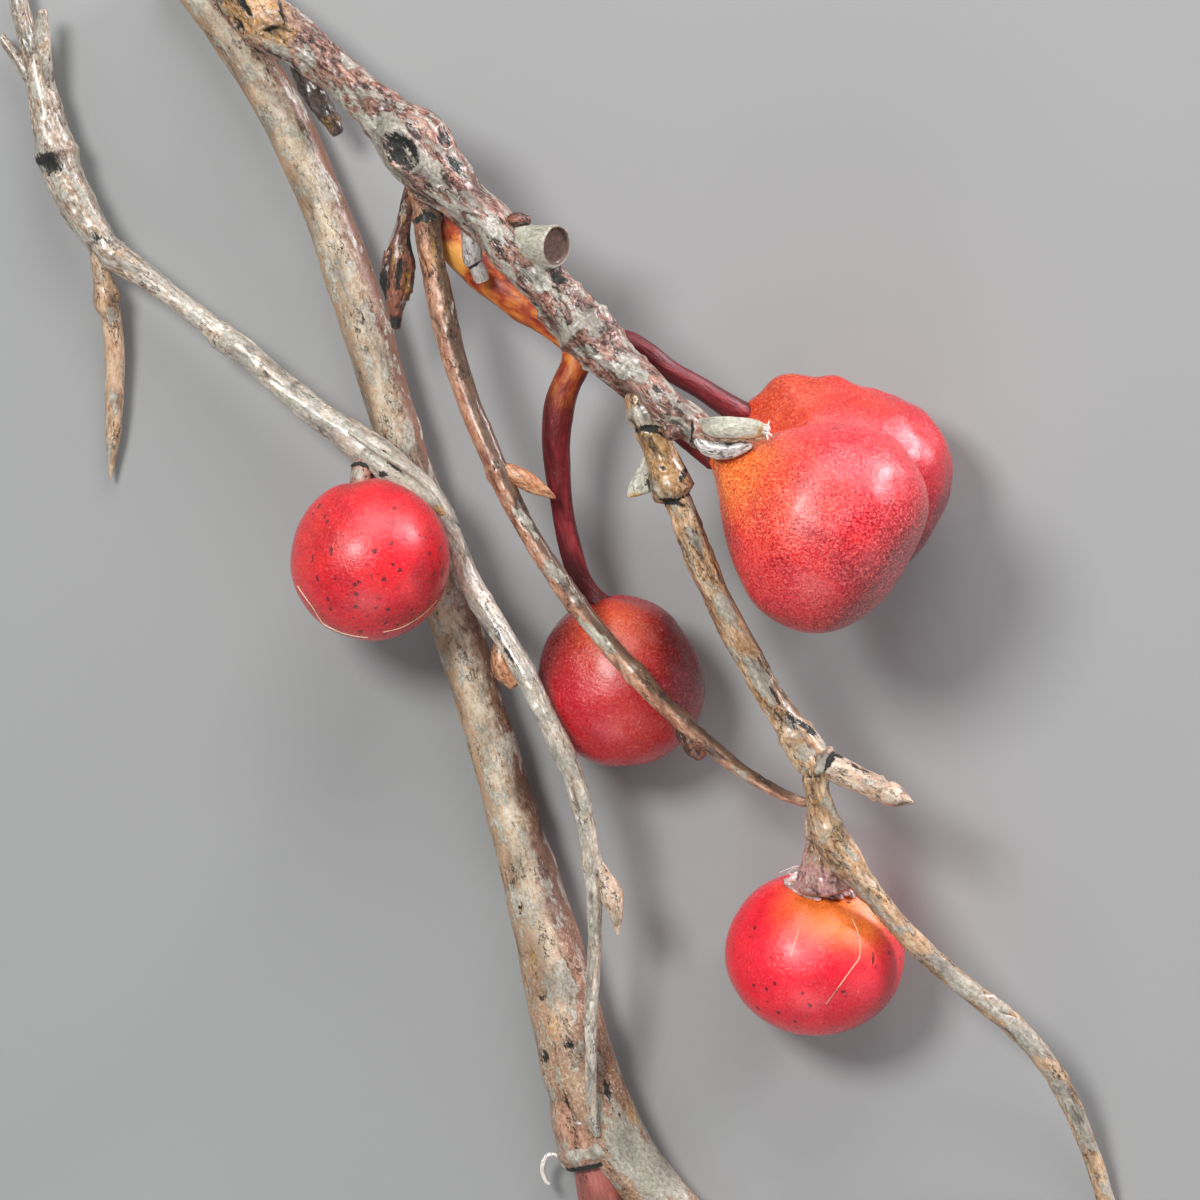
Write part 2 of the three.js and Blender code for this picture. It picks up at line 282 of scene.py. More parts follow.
# %% The bark finish
def bark(name, light, middle, dark, lichen=0.5, silver_and_glint=0.5, fleck=0.5, wood=HEARTWOOD,
         relief=0.00018, dark_side_and_shade=None, side_reach=(9.0, 0.2, -2.2), edge_tint=None,
         foot_tint=None, stretch=0.3, stain=OCHRE, dull=0.5, hollow_shading=0.8, shine=0.5,
         steps=(0.36, 0.46, 0.56)):
    """lichen, fleck and the silvery scratches, which are partly painted glints, run from 0, none,
    to 1, nearly all over. shine is the coat's weight, dull the mean roughness, and steps the
    noise values of dark, middle and light."""
    material, tree, shader = new_finish(name)
    grain = attribute(tree, "grain")
    across, _, along = parts_of(tree, grain)
    dark_mark, ochre_mark, pale_mark = parts_of(tree, attribute(tree, "marks"))
    bare_wood, height, in_crack = parts_of(tree, attribute(tree, "form"))

    streaks = stretched_noise(tree, grain, (1.3, 1.3, 1.3 * stretch), 9, 0.74)
    mottle = stretched_noise(tree, grain, (3.2, 3.2, 5 * stretch), 6, 0.72, 11)
    blend = weighted(tree, [(streaks, 0.55), (mottle, 0.45)])
    colour = ramp(tree, blend, [(steps[0], dark), (steps[1], middle), (steps[2], light)])
    if edge_tint:
        colour = edge_layer(tree, colour, across, mottle, edge_tint)
    # One flank darkened: partly the bark's own darker colour, partly painted shade.
    if dark_side_and_shade:
        colour = dark_side_and_shade_layer(tree, colour, across, streaks, dark_side_and_shade, side_reach)
    if foot_tint:
        colour = foot_layer(tree, colour, along, streaks, mottle, light, foot_tint)

    islands = stretched_noise(tree, grain, (0.8, 0.8, 0.36), 8, 0.66, 17)
    islands = weighted(tree, [(islands, 1.0), (pale_mark, 0.3)])
    island_mask = threshold(tree, islands, 0.64 - 0.26 * lichen, 0.68 - 0.26 * lichen)
    powder = stretched_noise(tree, grain, (3.4, 3.4, 2.2), 4, 0.65, 5)
    lichens = ramp(tree, powder, [(0.30, LICHEN_EDGE), (0.48, LICHEN), (0.66, LICHEN_POWDER)])
    colour = cover(tree, island_mask, 0.9, colour, lichens)

    crumbled = weighted(tree, [(ochre_mark, 1.0), (mottle, 2.2)], -1.1)
    stains = ramp(tree, powder, [(0.34, shaded_by(stain, 0.5)), (0.46, stain), (0.66, light)])
    colour = cover(tree, threshold(tree, crumbled, 0.3, 0.9), 0.85, colour, stains)

    # Silvery scratches, partly real pale bark and partly painted glints, with a lower roughness.
    scratches = stretched_noise(tree, grain, (2.9, 2.9, 1.0), 6, 0.74, 31)
    scratch_and_glint_mask = threshold(tree, scratches, 0.70 - 0.2 * silver_and_glint, 0.75 - 0.2 * silver_and_glint)
    colour = cover(tree, scratch_and_glint_mask, 0.8, colour, SILVER_AND_GLINT)

    cracks, flecks = black_flecks(tree, grain, fleck)
    off_lichen = weighted(tree, [(island_mask, -0.85)], 1.0)
    black_mask = maths(tree, "MULTIPLY", flecks, off_lichen)
    colour = cover(tree, black_mask, 0.88, colour, BLACK)

    # Painted shade: the lower a point lies in the relief, the darker its colour.
    hollow_shade = ramp(tree, weighted(tree, [(height, 0.5)], 0.5), HOLLOW_SHADE)
    colour = mix(tree, hollow_shading, colour, hollow_shade, "MULTIPLY")
    split = maths(tree, "MULTIPLY", in_crack, off_lichen)
    colour = cover(tree, split, 0.85, colour, BLACK)

    scarred = weighted(tree, [(dark_mark, 1.0), (cracks, 3.2)], -1.6)
    scar_mask = threshold(tree, scarred, 0.55, 0.75)
    colour = mix(tree, scar_mask, colour, BLACK)

    fibres = stretched_noise(tree, grain, (2.4, 2.4, 2.4), 7, 0.75, 71)
    woods = ramp(tree, fibres, [(0.4, shaded_by(wood, 0.2)), (0.52, wood), (0.66, shaded_by(wood, 1.5))])
    colour = mix(tree, bare_wood, colour, woods)

    tree.links.new(colour, shader.inputs["Base Color"])
    roughnesses = [(scratch_and_glint_mask, -0.22), (mottle, 0.5), (island_mask, 0.15), (black_mask, 0.2)]
    tree.links.new(weighted(tree, roughnesses, dull - 0.22), shader.inputs["Roughness"])
    shader.inputs["Specular IOR Level"].default_value = 0.5
    sooty = maths(tree, "MAXIMUM", maths(tree, "MAXIMUM", black_mask, scar_mask), split)
    tree.links.new(weighted(tree, [(sooty, -0.85 * shine)], shine), shader.inputs["Coat Weight"])
    shader.inputs["Coat Roughness"].default_value = 0.3
    shader.inputs["Coat IOR"].default_value = 1.7
    heights = [(streaks, 0.9), (mottle, 0.8), (powder, 0.3), (scratch_and_glint_mask, 0.35),
               (island_mask, 0.25), (black_mask, -0.7), (fibres, 0.6)]
    bump(tree, shader, heights, relief)
    return material


# %% [markdown]
# Every kind of twig has its own mix of the layers. The first three colours are the light, the
# middle and the dark of its skin.

# %% The barks
STEM_BARK = bark("stem_bark", srgb(222, 210, 188), srgb(206, 182, 152), srgb(160, 122, 94), lichen=0.4,
                 silver_and_glint=0.4, fleck=0.2, wood=srgb(150, 80, 70), dark_side_and_shade=srgb(112, 70, 50), stretch=0.6,
                 side_reach=(6.0, 0.2, -2.0), edge_tint=(srgb(168, 124, 84), 0.9, 1.9),
                 foot_tint=(srgb(184, 130, 96), 98, 124), hollow_shading=0.45, shine=0.2)
PINK_BARK = bark("pink_bark", srgb(212, 172, 142), srgb(176, 120, 92), srgb(112, 74, 56), lichen=0.26,
                 silver_and_glint=0.4, fleck=0.46, stretch=0.6, hollow_shading=0.6)
KNOT_BARK = bark("knot_bark", srgb(214, 180, 160), srgb(150, 94, 72), srgb(54, 34, 28), lichen=0.5,
                 silver_and_glint=0.64, fleck=0.72, relief=0.00026, dull=0.38, shine=0.5, steps=(0.41, 0.49, 0.6))
WHIP_BARK = bark("whip_bark", srgb(224, 176, 142), srgb(176, 112, 78), srgb(104, 64, 46), lichen=0.14,
                 silver_and_glint=0.42, fleck=0.36, dark_side_and_shade=srgb(84, 60, 34), side_reach=(2.4, 0.35, -0.35),
                 shine=0.7)
GOLD_BARK = bark("gold_bark", srgb(232, 202, 166), srgb(190, 142, 92), srgb(104, 68, 42), lichen=0.36,
                 silver_and_glint=0.6, fleck=0.56, shine=0.7)
GREY_BARK = bark("grey_bark", srgb(238, 230, 216), srgb(200, 180, 154), srgb(124, 96, 72), lichen=0.52,
                 silver_and_glint=0.7, fleck=0.26, dull=0.42, hollow_shading=0.6, shine=0.8,
                 foot_tint=(srgb(164, 124, 88), 40, 22))
DARK_BARK = bark("dark_bark", srgb(164, 98, 68), srgb(98, 56, 44), srgb(36, 26, 22), lichen=0.2,
                 silver_and_glint=0.4, fleck=0.66)
BLACK_BARK = bark("black_bark", srgb(104, 78, 62), srgb(52, 42, 36), srgb(22, 20, 18), lichen=0.0,
                  silver_and_glint=0.36, fleck=0.7, shine=0.9)
BUD_BARK = bark("bud_bark", srgb(222, 168, 120), srgb(176, 104, 62), srgb(112, 64, 42), lichen=0.12,
                silver_and_glint=0.44, fleck=0.1)
THORN_BARK = bark("thorn_bark", srgb(220, 192, 160), srgb(192, 148, 112), srgb(128, 90, 64), lichen=0.3,
                  silver_and_glint=0.5, fleck=0.15)
PALE_BARK = bark("pale_bark", srgb(232, 212, 188), srgb(206, 168, 138), srgb(150, 102, 76), lichen=0.22,
                 silver_and_glint=0.56, fleck=0.26, relief=0.00016, dull=0.4)
SILVER_BARK = bark("silver_bark", srgb(246, 242, 238), srgb(228, 220, 212), srgb(166, 138, 120),
                   lichen=0.1, silver_and_glint=0.7, fleck=0.26, relief=0.00026, dull=0.34, shine=0.7)
BRACT_BARK = bark("bract_bark", srgb(194, 188, 168), srgb(180, 176, 154), srgb(152, 142, 118),
                  lichen=0.85, silver_and_glint=0.15, fleck=0.05, relief=0.0001, hollow_shading=0.4, shine=0.3)
STALK_BARK = bark("stalk_bark", srgb(206, 158, 140), srgb(160, 100, 84), srgb(84, 52, 44), lichen=0.16,
                  silver_and_glint=0.44, fleck=0.45)
CUFF_BARK = bark("cuff_bark", srgb(226, 192, 170), srgb(176, 126, 88), srgb(96, 62, 46), lichen=0.3,
                 silver_and_glint=0.6, fleck=0.6, stain=PINK, dull=0.3, shine=1.0)
RED_WOOD = bark("red_wood_bark", srgb(178, 104, 92), srgb(164, 86, 76), srgb(138, 68, 60), lichen=0.0,
                silver_and_glint=0.05, fleck=0.1, wood=srgb(166, 90, 80), relief=0.00006)
print("bark finishes:", [m.name for m in bpy.data.materials if m.name.endswith("_bark")])

# %% [markdown]
# ## How a twig is made
# A twig is a flat sheet rolled round a centre line. The sheet is a plane grid: its columns go
# round the twig and its rows along it. The centre line is a smooth curve through a few
# stations, each with a radius, so swollen joints and tapers come from the stations. Rolling
# a grid keeps every row square to the line, where a cylinder that is bent would pinch.
#
# While the sheet is rolled, each point is pushed out or in by the bark's own relief: long
# ridges from noise that is stretched along the grain, then rings round the twig, and spots,
# which are scars, stains, bumps or cracks at a place seen from above.

# %% The centre line
SMOOTH_STEPS = 24  # fine steps from one station to the next
FEWEST_ROWS = 6


def centre_line(stations, spacing):
    """Evenly spaced points (x, y, z, radius), each with its distance, along a smooth curve
    through the stations, and the curve's length."""
    knots = [Vector(station) for station in stations]
    fine = []
    for i in range(len(knots) - 1):
        before = knots[max(i - 1, 0)]
        after = knots[min(i + 2, len(knots) - 1)]
        for step in range(SMOOTH_STEPS):
            t = step / SMOOTH_STEPS
            out = (after - knots[i]) * 0.5
            into = (knots[i + 1] - before) * 0.5
            fine.append(
                knots[i] * (2 * t**3 - 3 * t**2 + 1) + knots[i + 1] * (3 * t**2 - 2 * t**3)
                + into * (t**3 - 2 * t**2 + t) + out * (t**3 - t**2)
            )
    fine.append(knots[-1])
    travelled = [0.0]
    for first, second in zip(fine, fine[1:]):
        travelled.append(travelled[-1] + (second - first).xyz.length)
    length = travelled[-1]
    count = max(FEWEST_ROWS, round(length / spacing))
    line = []
    j = 0
    for i in range(count + 1):
        want = length * i / count
        while j < len(fine) - 2 and travelled[j + 1] < want:
            j += 1
        share = (want - travelled[j]) / max(travelled[j + 1] - travelled[j], 1e-9)
        line.append((fine[j].lerp(fine[j + 1], min(share, 1.0)), want))
    return line, length


# %% [markdown]
# An end is closed by a few more rows that shrink to nothing. A grown end is rounded. A sawn
# one has a thin rim of bark and a face of wood a little below it. A cornered one is nearly
# flat, and a cuff's end lies against the hip. Each row is its share of the radius, how far
# out it lies in radii, and how much it shows wood.

# %% The ends
ROUND_END = [(0.97, 0.10, 0), (0.86, 0.26, 0), (0.62, 0.42, 0), (0.32, 0.5, 0), (0.0, 0.52, 0)]
SAWN_END = [(1.0, 0.05, 0), (0.98, 0.10, 0.2), (0.93, 0.12, 0.5), (0.88, 0.08, 0.9), (0.84, -0.02, 1),
            (0.70, -0.05, 1), (0.52, -0.06, 1), (0.34, -0.05, 1), (0.17, -0.07, 1), (0.0, -0.09, 1)]
CORNERED_END = [(0.96, 0.05, 0), (0.7, 0.12, 0), (0.3, 0.16, 0), (0.0, 0.16, 0)]
CUFF_END = [(0.98, 0.05, 0), (0.9, 0.13, 0), (0.7, 0.2, 0), (0.4, 0.24, 0), (0.0, 0.25, 0)]
print("rows in a round end:", len(ROUND_END), "and in a sawn one:", len(SAWN_END))


def rows_of(stations, spacing, start, end):
    """All rows of the sheet: (centre and radius, distance, share, outward shift, wood)."""
    line, length = centre_line(stations, spacing)
    rows = [(point, travelled, 1.0, 0.0, 0.0) for point, travelled in line]
    first = [(line[0][0], 0.0, share, -shift, wood) for share, shift, wood in reversed(start)]
    last = [(line[-1][0], length, share, shift, wood) for share, shift, wood in end]
    return first + rows + last, line


# %% Spots
SPOT_REACH = 2.2  # a spot has faded out at this many times its half length
RIM_AT, RIM_WIDTH = 1.15, 0.25  # where its raised rim lies and how wide it is, in half lengths
LEAST_FACING = 0.05  # a spot is seen from above, so it leaves flanks and undersides alone


def spot(x, y, half_length, half_width, turn, lift=0.0, rim=0.0, dark=0.0, ochre=0.0, pale=0.0):
    """An oval at (x, y), turned by so many degrees. It is raised by lift, or sunk where that is
    negative, its rim is raised by rim, and it takes so much of each stain."""
    return x, y, half_length, half_width, turn, lift, rim, dark, ochre, pale


def spot_push(spots, x, y, facing_up):
    """Height and marks (dark, ochre, pale) that the spots give a point seen from above."""
    height = 0.0
    marks = Vector((0.0, 0.0, 0.0))
    if facing_up <= LEAST_FACING:
        return height, marks
    for spot_x, spot_y, half_length, half_width, turn, lift, rim, dark, ochre, pale in spots:
        dx = x - spot_x
        dy = y - spot_y
        reach = max(half_length, half_width) * SPOT_REACH
        if abs(dx) > reach or abs(dy) > reach:
            continue
        angle = math.radians(turn)
        along = (dx * math.cos(angle) + dy * math.sin(angle)) / half_length
        across = (dy * math.cos(angle) - dx * math.sin(angle)) / half_width
        out = math.hypot(along, across)
        ragged = noise.fractal(Vector((x * 0.9, y * 0.9, spot_x)), 1.0, 2.0, 3)
        out += 0.3 / max(1.0, half_length) * ragged
        inside = math.exp(-max(out, 0.0) ** 2)
        height += lift * inside ** 2 + rim * math.exp(-(((out - RIM_AT) / RIM_WIDTH) ** 2))
        marks += Vector((dark, ochre, pale)) * inside
    return height * min(1.0, facing_up * 2), marks


# %% Rings and relief
def ring_push(rings, distance, angle, seed):
    """Height and darkness from the rings round the twig at this distance along it."""
    height = 0.0
    dark = 0.0
    for at, half_width, lift, tone in rings:
        around = Vector((math.cos(angle), math.sin(angle), seed + at))
        wobble = 0.35 * half_width * noise.noise(around)
        near = math.exp(-(((distance - at + wobble) / half_width) ** 2))
        height += lift * near
        dark += tone * near
    return height, dark


def distance_at(line, x, y):
    """How far along the centre line the point nearest to (x, y) lies."""
    return min(line, key=lambda item: (item[0].x - x) ** 2 + (item[0].y - y) ** 2)[1]


def ridges(grain, rough, lump, seed):
    """Bark relief in millimetres and how deep in a crack it is: ridges along the grain, fine
    grit, slow swellings, and narrow cracks where a stretched noise crosses zero."""
    shift = Vector((seed * 7.1, seed * 3.7, seed * 5.3))
    along = Vector((grain.x, grain.y, grain.z * 0.2)) + shift
    grit = Vector((grain.x * 2.6, grain.y * 2.6, grain.z * 1.1)) + shift
    slow = Vector((grain.x * 0.4, grain.y * 0.4, grain.z * 0.26)) + shift
    split = Vector((grain.x * 0.7, grain.y * 0.7, grain.z * 0.14)) - shift
    patchy = noise.noise(Vector((grain.x * 0.25, grain.y * 0.25, grain.z * 0.2)) - shift)
    torn = max(0.0, min(1.0, 0.5 + 3 * patchy))
    crack = max(0.0, 1 - abs(noise.noise(split)) / 0.06) * torn
    fine = noise.fractal(along, 0.8, 2.2, 4) + 0.4 * noise.fractal(grit, 0.9, 2.2, 3)
    height = (0.3 + 0.9 * torn) * rough * fine
    height += lump * noise.noise(slow) - 0.9 * rough * crack
    return height, crack


# %% [markdown]
# Rolling goes point by point. The point's column gives its angle round the twig, and its row
# gives the centre, the radius and the direction there. The push out or in comes last. At a
# sawn face it is weaker, and the very last row closes to one point.

# %% Rolling the sheet into a twig
def direction_at(index, rows, line, start, end):
    """The way the twig runs at a row. The rows that close an end keep the direction there."""
    before = rows[max(index - 1, 0)][0].xyz
    after = rows[min(index + 1, len(rows) - 1)][0].xyz
    if index < len(start):
        before, after = line[0][0].xyz, line[1][0].xyz
    if index >= len(rows) - len(end):
        before, after = line[-2][0].xyz, line[-1][0].xyz
    return (after - before).normalized()


def merge_seam(piece):
    """The sheet's two long edges meet, and each end's last row is one point."""
    bpy.ops.object.mode_set(mode="EDIT")
    bpy.ops.mesh.select_all(action="SELECT")
    bpy.ops.mesh.remove_doubles(threshold=1e-6)
    bpy.ops.mesh.normals_make_consistent(inside=False)
    bpy.ops.object.mode_set(mode="OBJECT")


def roll_twig(name, node, stations, finish, sides=40, spacing=0.35, start=ROUND_END, end=ROUND_END,
              rough=0.08, lump=0.08, cracked=0.6, rings=(), spots=(), flatten=1.0, replaced=True):
    """Stations are (x, y, z, radius), and rings are (x, y, half width, lift, darkness). flatten
    under 1 makes a leafy, flat section."""
    rows, line = rows_of(stations, spacing, start, end)
    placed_rings = [(distance_at(line, x, y), half, lift, tone) for x, y, half, lift, tone in rings]
    seed = sum(ord(letter) for letter in name) % 97
    start_fresh()
    bpy.ops.mesh.primitive_grid_add(x_subdivisions=sides, y_subdivisions=len(rows) - 1, size=2)
    piece = bpy.context.object
    mesh = piece.data
    places, grains, marks, form = ([Vector()] * len(mesh.vertices) for _ in range(4))
    for vertex in mesh.vertices:
        column = round((vertex.co.x + 1) / 2 * sides)
        index = round((vertex.co.y + 1) / 2 * (len(rows) - 1))
        point, travelled, share, shift, wood = rows[index]
        forward = direction_at(index, rows, line, start, end)
        side = forward.cross(Vector((0, 0, 1))).normalized()
        up = side.cross(forward)
        angle = 2 * math.pi * (column % sides) / sides - math.pi / 2
        outward = side * math.cos(angle) + up * math.sin(angle) * flatten
        radius = point.w * share
        flat = point.w * (0.3 + 0.7 * share)
        grain = Vector((flat * math.cos(angle), flat * math.sin(angle), travelled + shift * point.w))

        push, crack = ridges(grain, rough, lump, seed)
        height = push / (rough + 0.3 * lump + 0.01)
        push *= min(1.0, share * 1.4) * min(1.0, point.w)
        seen_x, seen_y = point.x + outward.x * radius, point.y + outward.y * radius
        raised, stains = spot_push(spots, seen_x, seen_y, outward.z)
        ring, dark = ring_push(placed_rings, travelled, angle, seed)
        on_bark = push + (raised + ring) * share
        radius = max(0.0, radius + (on_bark if wood < 0.5 else 0.4 * push * share))
        if share == 0.0:
            radius = 0.0

        centre = point.xyz + forward * (shift * point.w)
        places[vertex.index] = place(centre + outward * radius)
        grains[vertex.index] = grain
        marks[vertex.index] = stains + Vector((dark, 0, 0))
        form[vertex.index] = Vector((wood, height * (1 - wood), crack * cracked * (1 - wood)))
    mesh.vertices.foreach_set("co", [number for value in places for number in value])
    for layer, values in (("grain", grains), ("marks", marks), ("form", form)):
        set_vectors(mesh, layer, values)
    merge_seam(piece)
    return finish_piece(piece, name, finish, node, replaced)


# %% [markdown]
# ## The main stem
# The smoothest and thickest stem, four to seven and a half millimetres across. Its bark is
# pale beige with faint swellings. At the thick end it forks: one limb was sawn off, and the
# other goes on to the lower right.

# %% Main stem and sawn stub
roll_twig("main_stem_bark", "main_stem", [
    (-42.8, 64.0, 2.3, 2.1), (-39.2, 60.0, 2.5, 2.25), (-32.6, 50.0, 3.0, 2.35),
    (-28.0, 40.0, 3.6, 2.3), (-24.3, 30.0, 4.1, 2.55), (-21.4, 20.0, 4.4, 2.35),
    (-18.3, 10.0, 4.5, 2.4), (-14.5, -2.5, 4.5, 2.5), (-10.7, -15.0, 4.4, 2.4),
    (-7.8, -25.0, 4.3, 2.75), (-5.1, -35.0, 4.2, 3.3), (-1.8, -48.0, 4.1, 3.8),
    (0.6, -53.2, 3.9, 3.6), (3.4, -57.2, 3.5, 3.1), (6.8, -60.8, 3.0, 2.7), (11.8, -66.0, 2.6, 2.5),
], STEM_BARK, sides=80, spacing=0.28, start=SAWN_END, end=SAWN_END, rough=0.05, lump=0.16, cracked=0.3,
    rings=[(-20.6, 17.0, 0.8, 0.08, 0.0), (-8.6, -22.0, 1.2, 0.15, 0.1)],
    spots=[
        spot(-24.0, 37.6, 0.8, 0.5, 70, lift=0.5, dark=0.2, ochre=0.3),
        spot(-19.2, 22.7, 0.7, 0.5, 80, lift=0.5, dark=0.3),
        spot(-19.6, 26.6, 0.5, 0.35, 70, lift=0.35, dark=0.8),
        spot(-21.6, 33.0, 0.9, 0.4, 70, lift=0.3, dark=0.9),
        spot(-9.1, -14.4, 0.9, 0.7, 60, lift=0.25, rim=0.1, pale=1.0),
        spot(-9.4, -12.4, 0.6, 0.5, 60, lift=0.1, rim=0.1, dark=0.6),
        spot(-5.6, -46.0, 1.0, 0.6, 100, lift=-0.3, rim=0.1, dark=1.0, ochre=0.5),
        spot(-3.0, -44.8, 0.6, 0.8, 90, lift=-0.2, rim=0.1, dark=0.9),
        spot(-2.6, -47.0, 0.5, 0.6, 90, lift=-0.2, rim=0.1, dark=0.8),
        spot(-5.9, -40.0, 0.8, 0.5, 90, lift=-0.2, rim=0.1, dark=0.9, ochre=0.4),
        spot(-7.9, -31.0, 0.8, 0.4, 80, lift=-0.1, rim=0.1, dark=0.6, ochre=0.6),
        spot(1.8, -51.6, 1.2, 0.8, 120, lift=0.1, dark=0.5, ochre=0.4),
        spot(4.6, -57.0, 4.6, 1.7, -45, dark=-0.6, ochre=-0.5, pale=1.6),
        spot(3.2, -51.8, 1.4, 0.5, -65, ochre=1.2),
        spot(2.6, -53.4, 1.1, 0.8, 20, dark=0.4, pale=0.9),
        spot(-3.4, -50.6, 1.5, 0.5, -75, lift=-0.1, rim=0.1, dark=0.9, ochre=0.7),
        spot(0.6, -49.0, 1.6, 0.4, -80, lift=-0.1, dark=1.1),
        spot(-4.6, -43.0, 1.4, 0.6, -80, lift=0.1, ochre=1.0),
        spot(-6.6, -36.0, 1.6, 0.5, -75, lift=0.1, ochre=0.9),
        spot(-3.4, -38.0, 1.2, 0.5, -75, lift=0.1, pale=1.1),
    ])
roll_twig("cut_stub_bark", "cut_stub", [
    (-2.4, -47.0, 4.1, 2.6), (-2.1, -49.5, 4.1, 3.05), (-1.7, -52.0, 4.0, 3.25),
    (-1.2, -54.4, 3.9, 3.2), (-0.9, -55.8, 3.7, 3.05), (-0.7, -56.6, 3.6, 2.75),
], PINK_BARK, sides=56, spacing=0.2, rough=0.12, lump=0.15, end=SAWN_END,
    rings=[(-1.1, -55.4, 0.7, 0.3, -0.5), (-0.8, -56.6, 0.3, 0.0, 1.2)],
    spots=[
        spot(-1.2, -55.6, 1.9, 0.5, 6, lift=0.1, dark=-0.5, pale=1.3),
        spot(-2.0, -52.0, 0.8, 0.6, 90, lift=-0.1, rim=0.1, dark=0.8),
    ])
roll_twig("cut_stub_wood", "cut_stub", [
    (-0.9, -55.4, 3.7, 1.9), (-0.6, -56.9, 3.5, 2.05), (-0.2, -59.0, 3.3, 2.2), (0.2, -61.2, 3.1, 2.2),
], RED_WOOD, sides=48, spacing=0.25, rough=0.06, lump=0.1, replaced=False,
    spots=[
        spot(1.0, -57.6, 1.0, 0.6, -50, dark=1.2),
        spot(1.4, -56.9, 0.5, 0.35, -50, lift=0.1, pale=1.6),
    ])

# %% [markdown]
# ## The knotty twig
# The oldest bark of all: pink-brown and cracked, with silver scratches, a big knot with an
# oval scar, and swollen rings where younger twigs leave it. It needs the strongest relief.

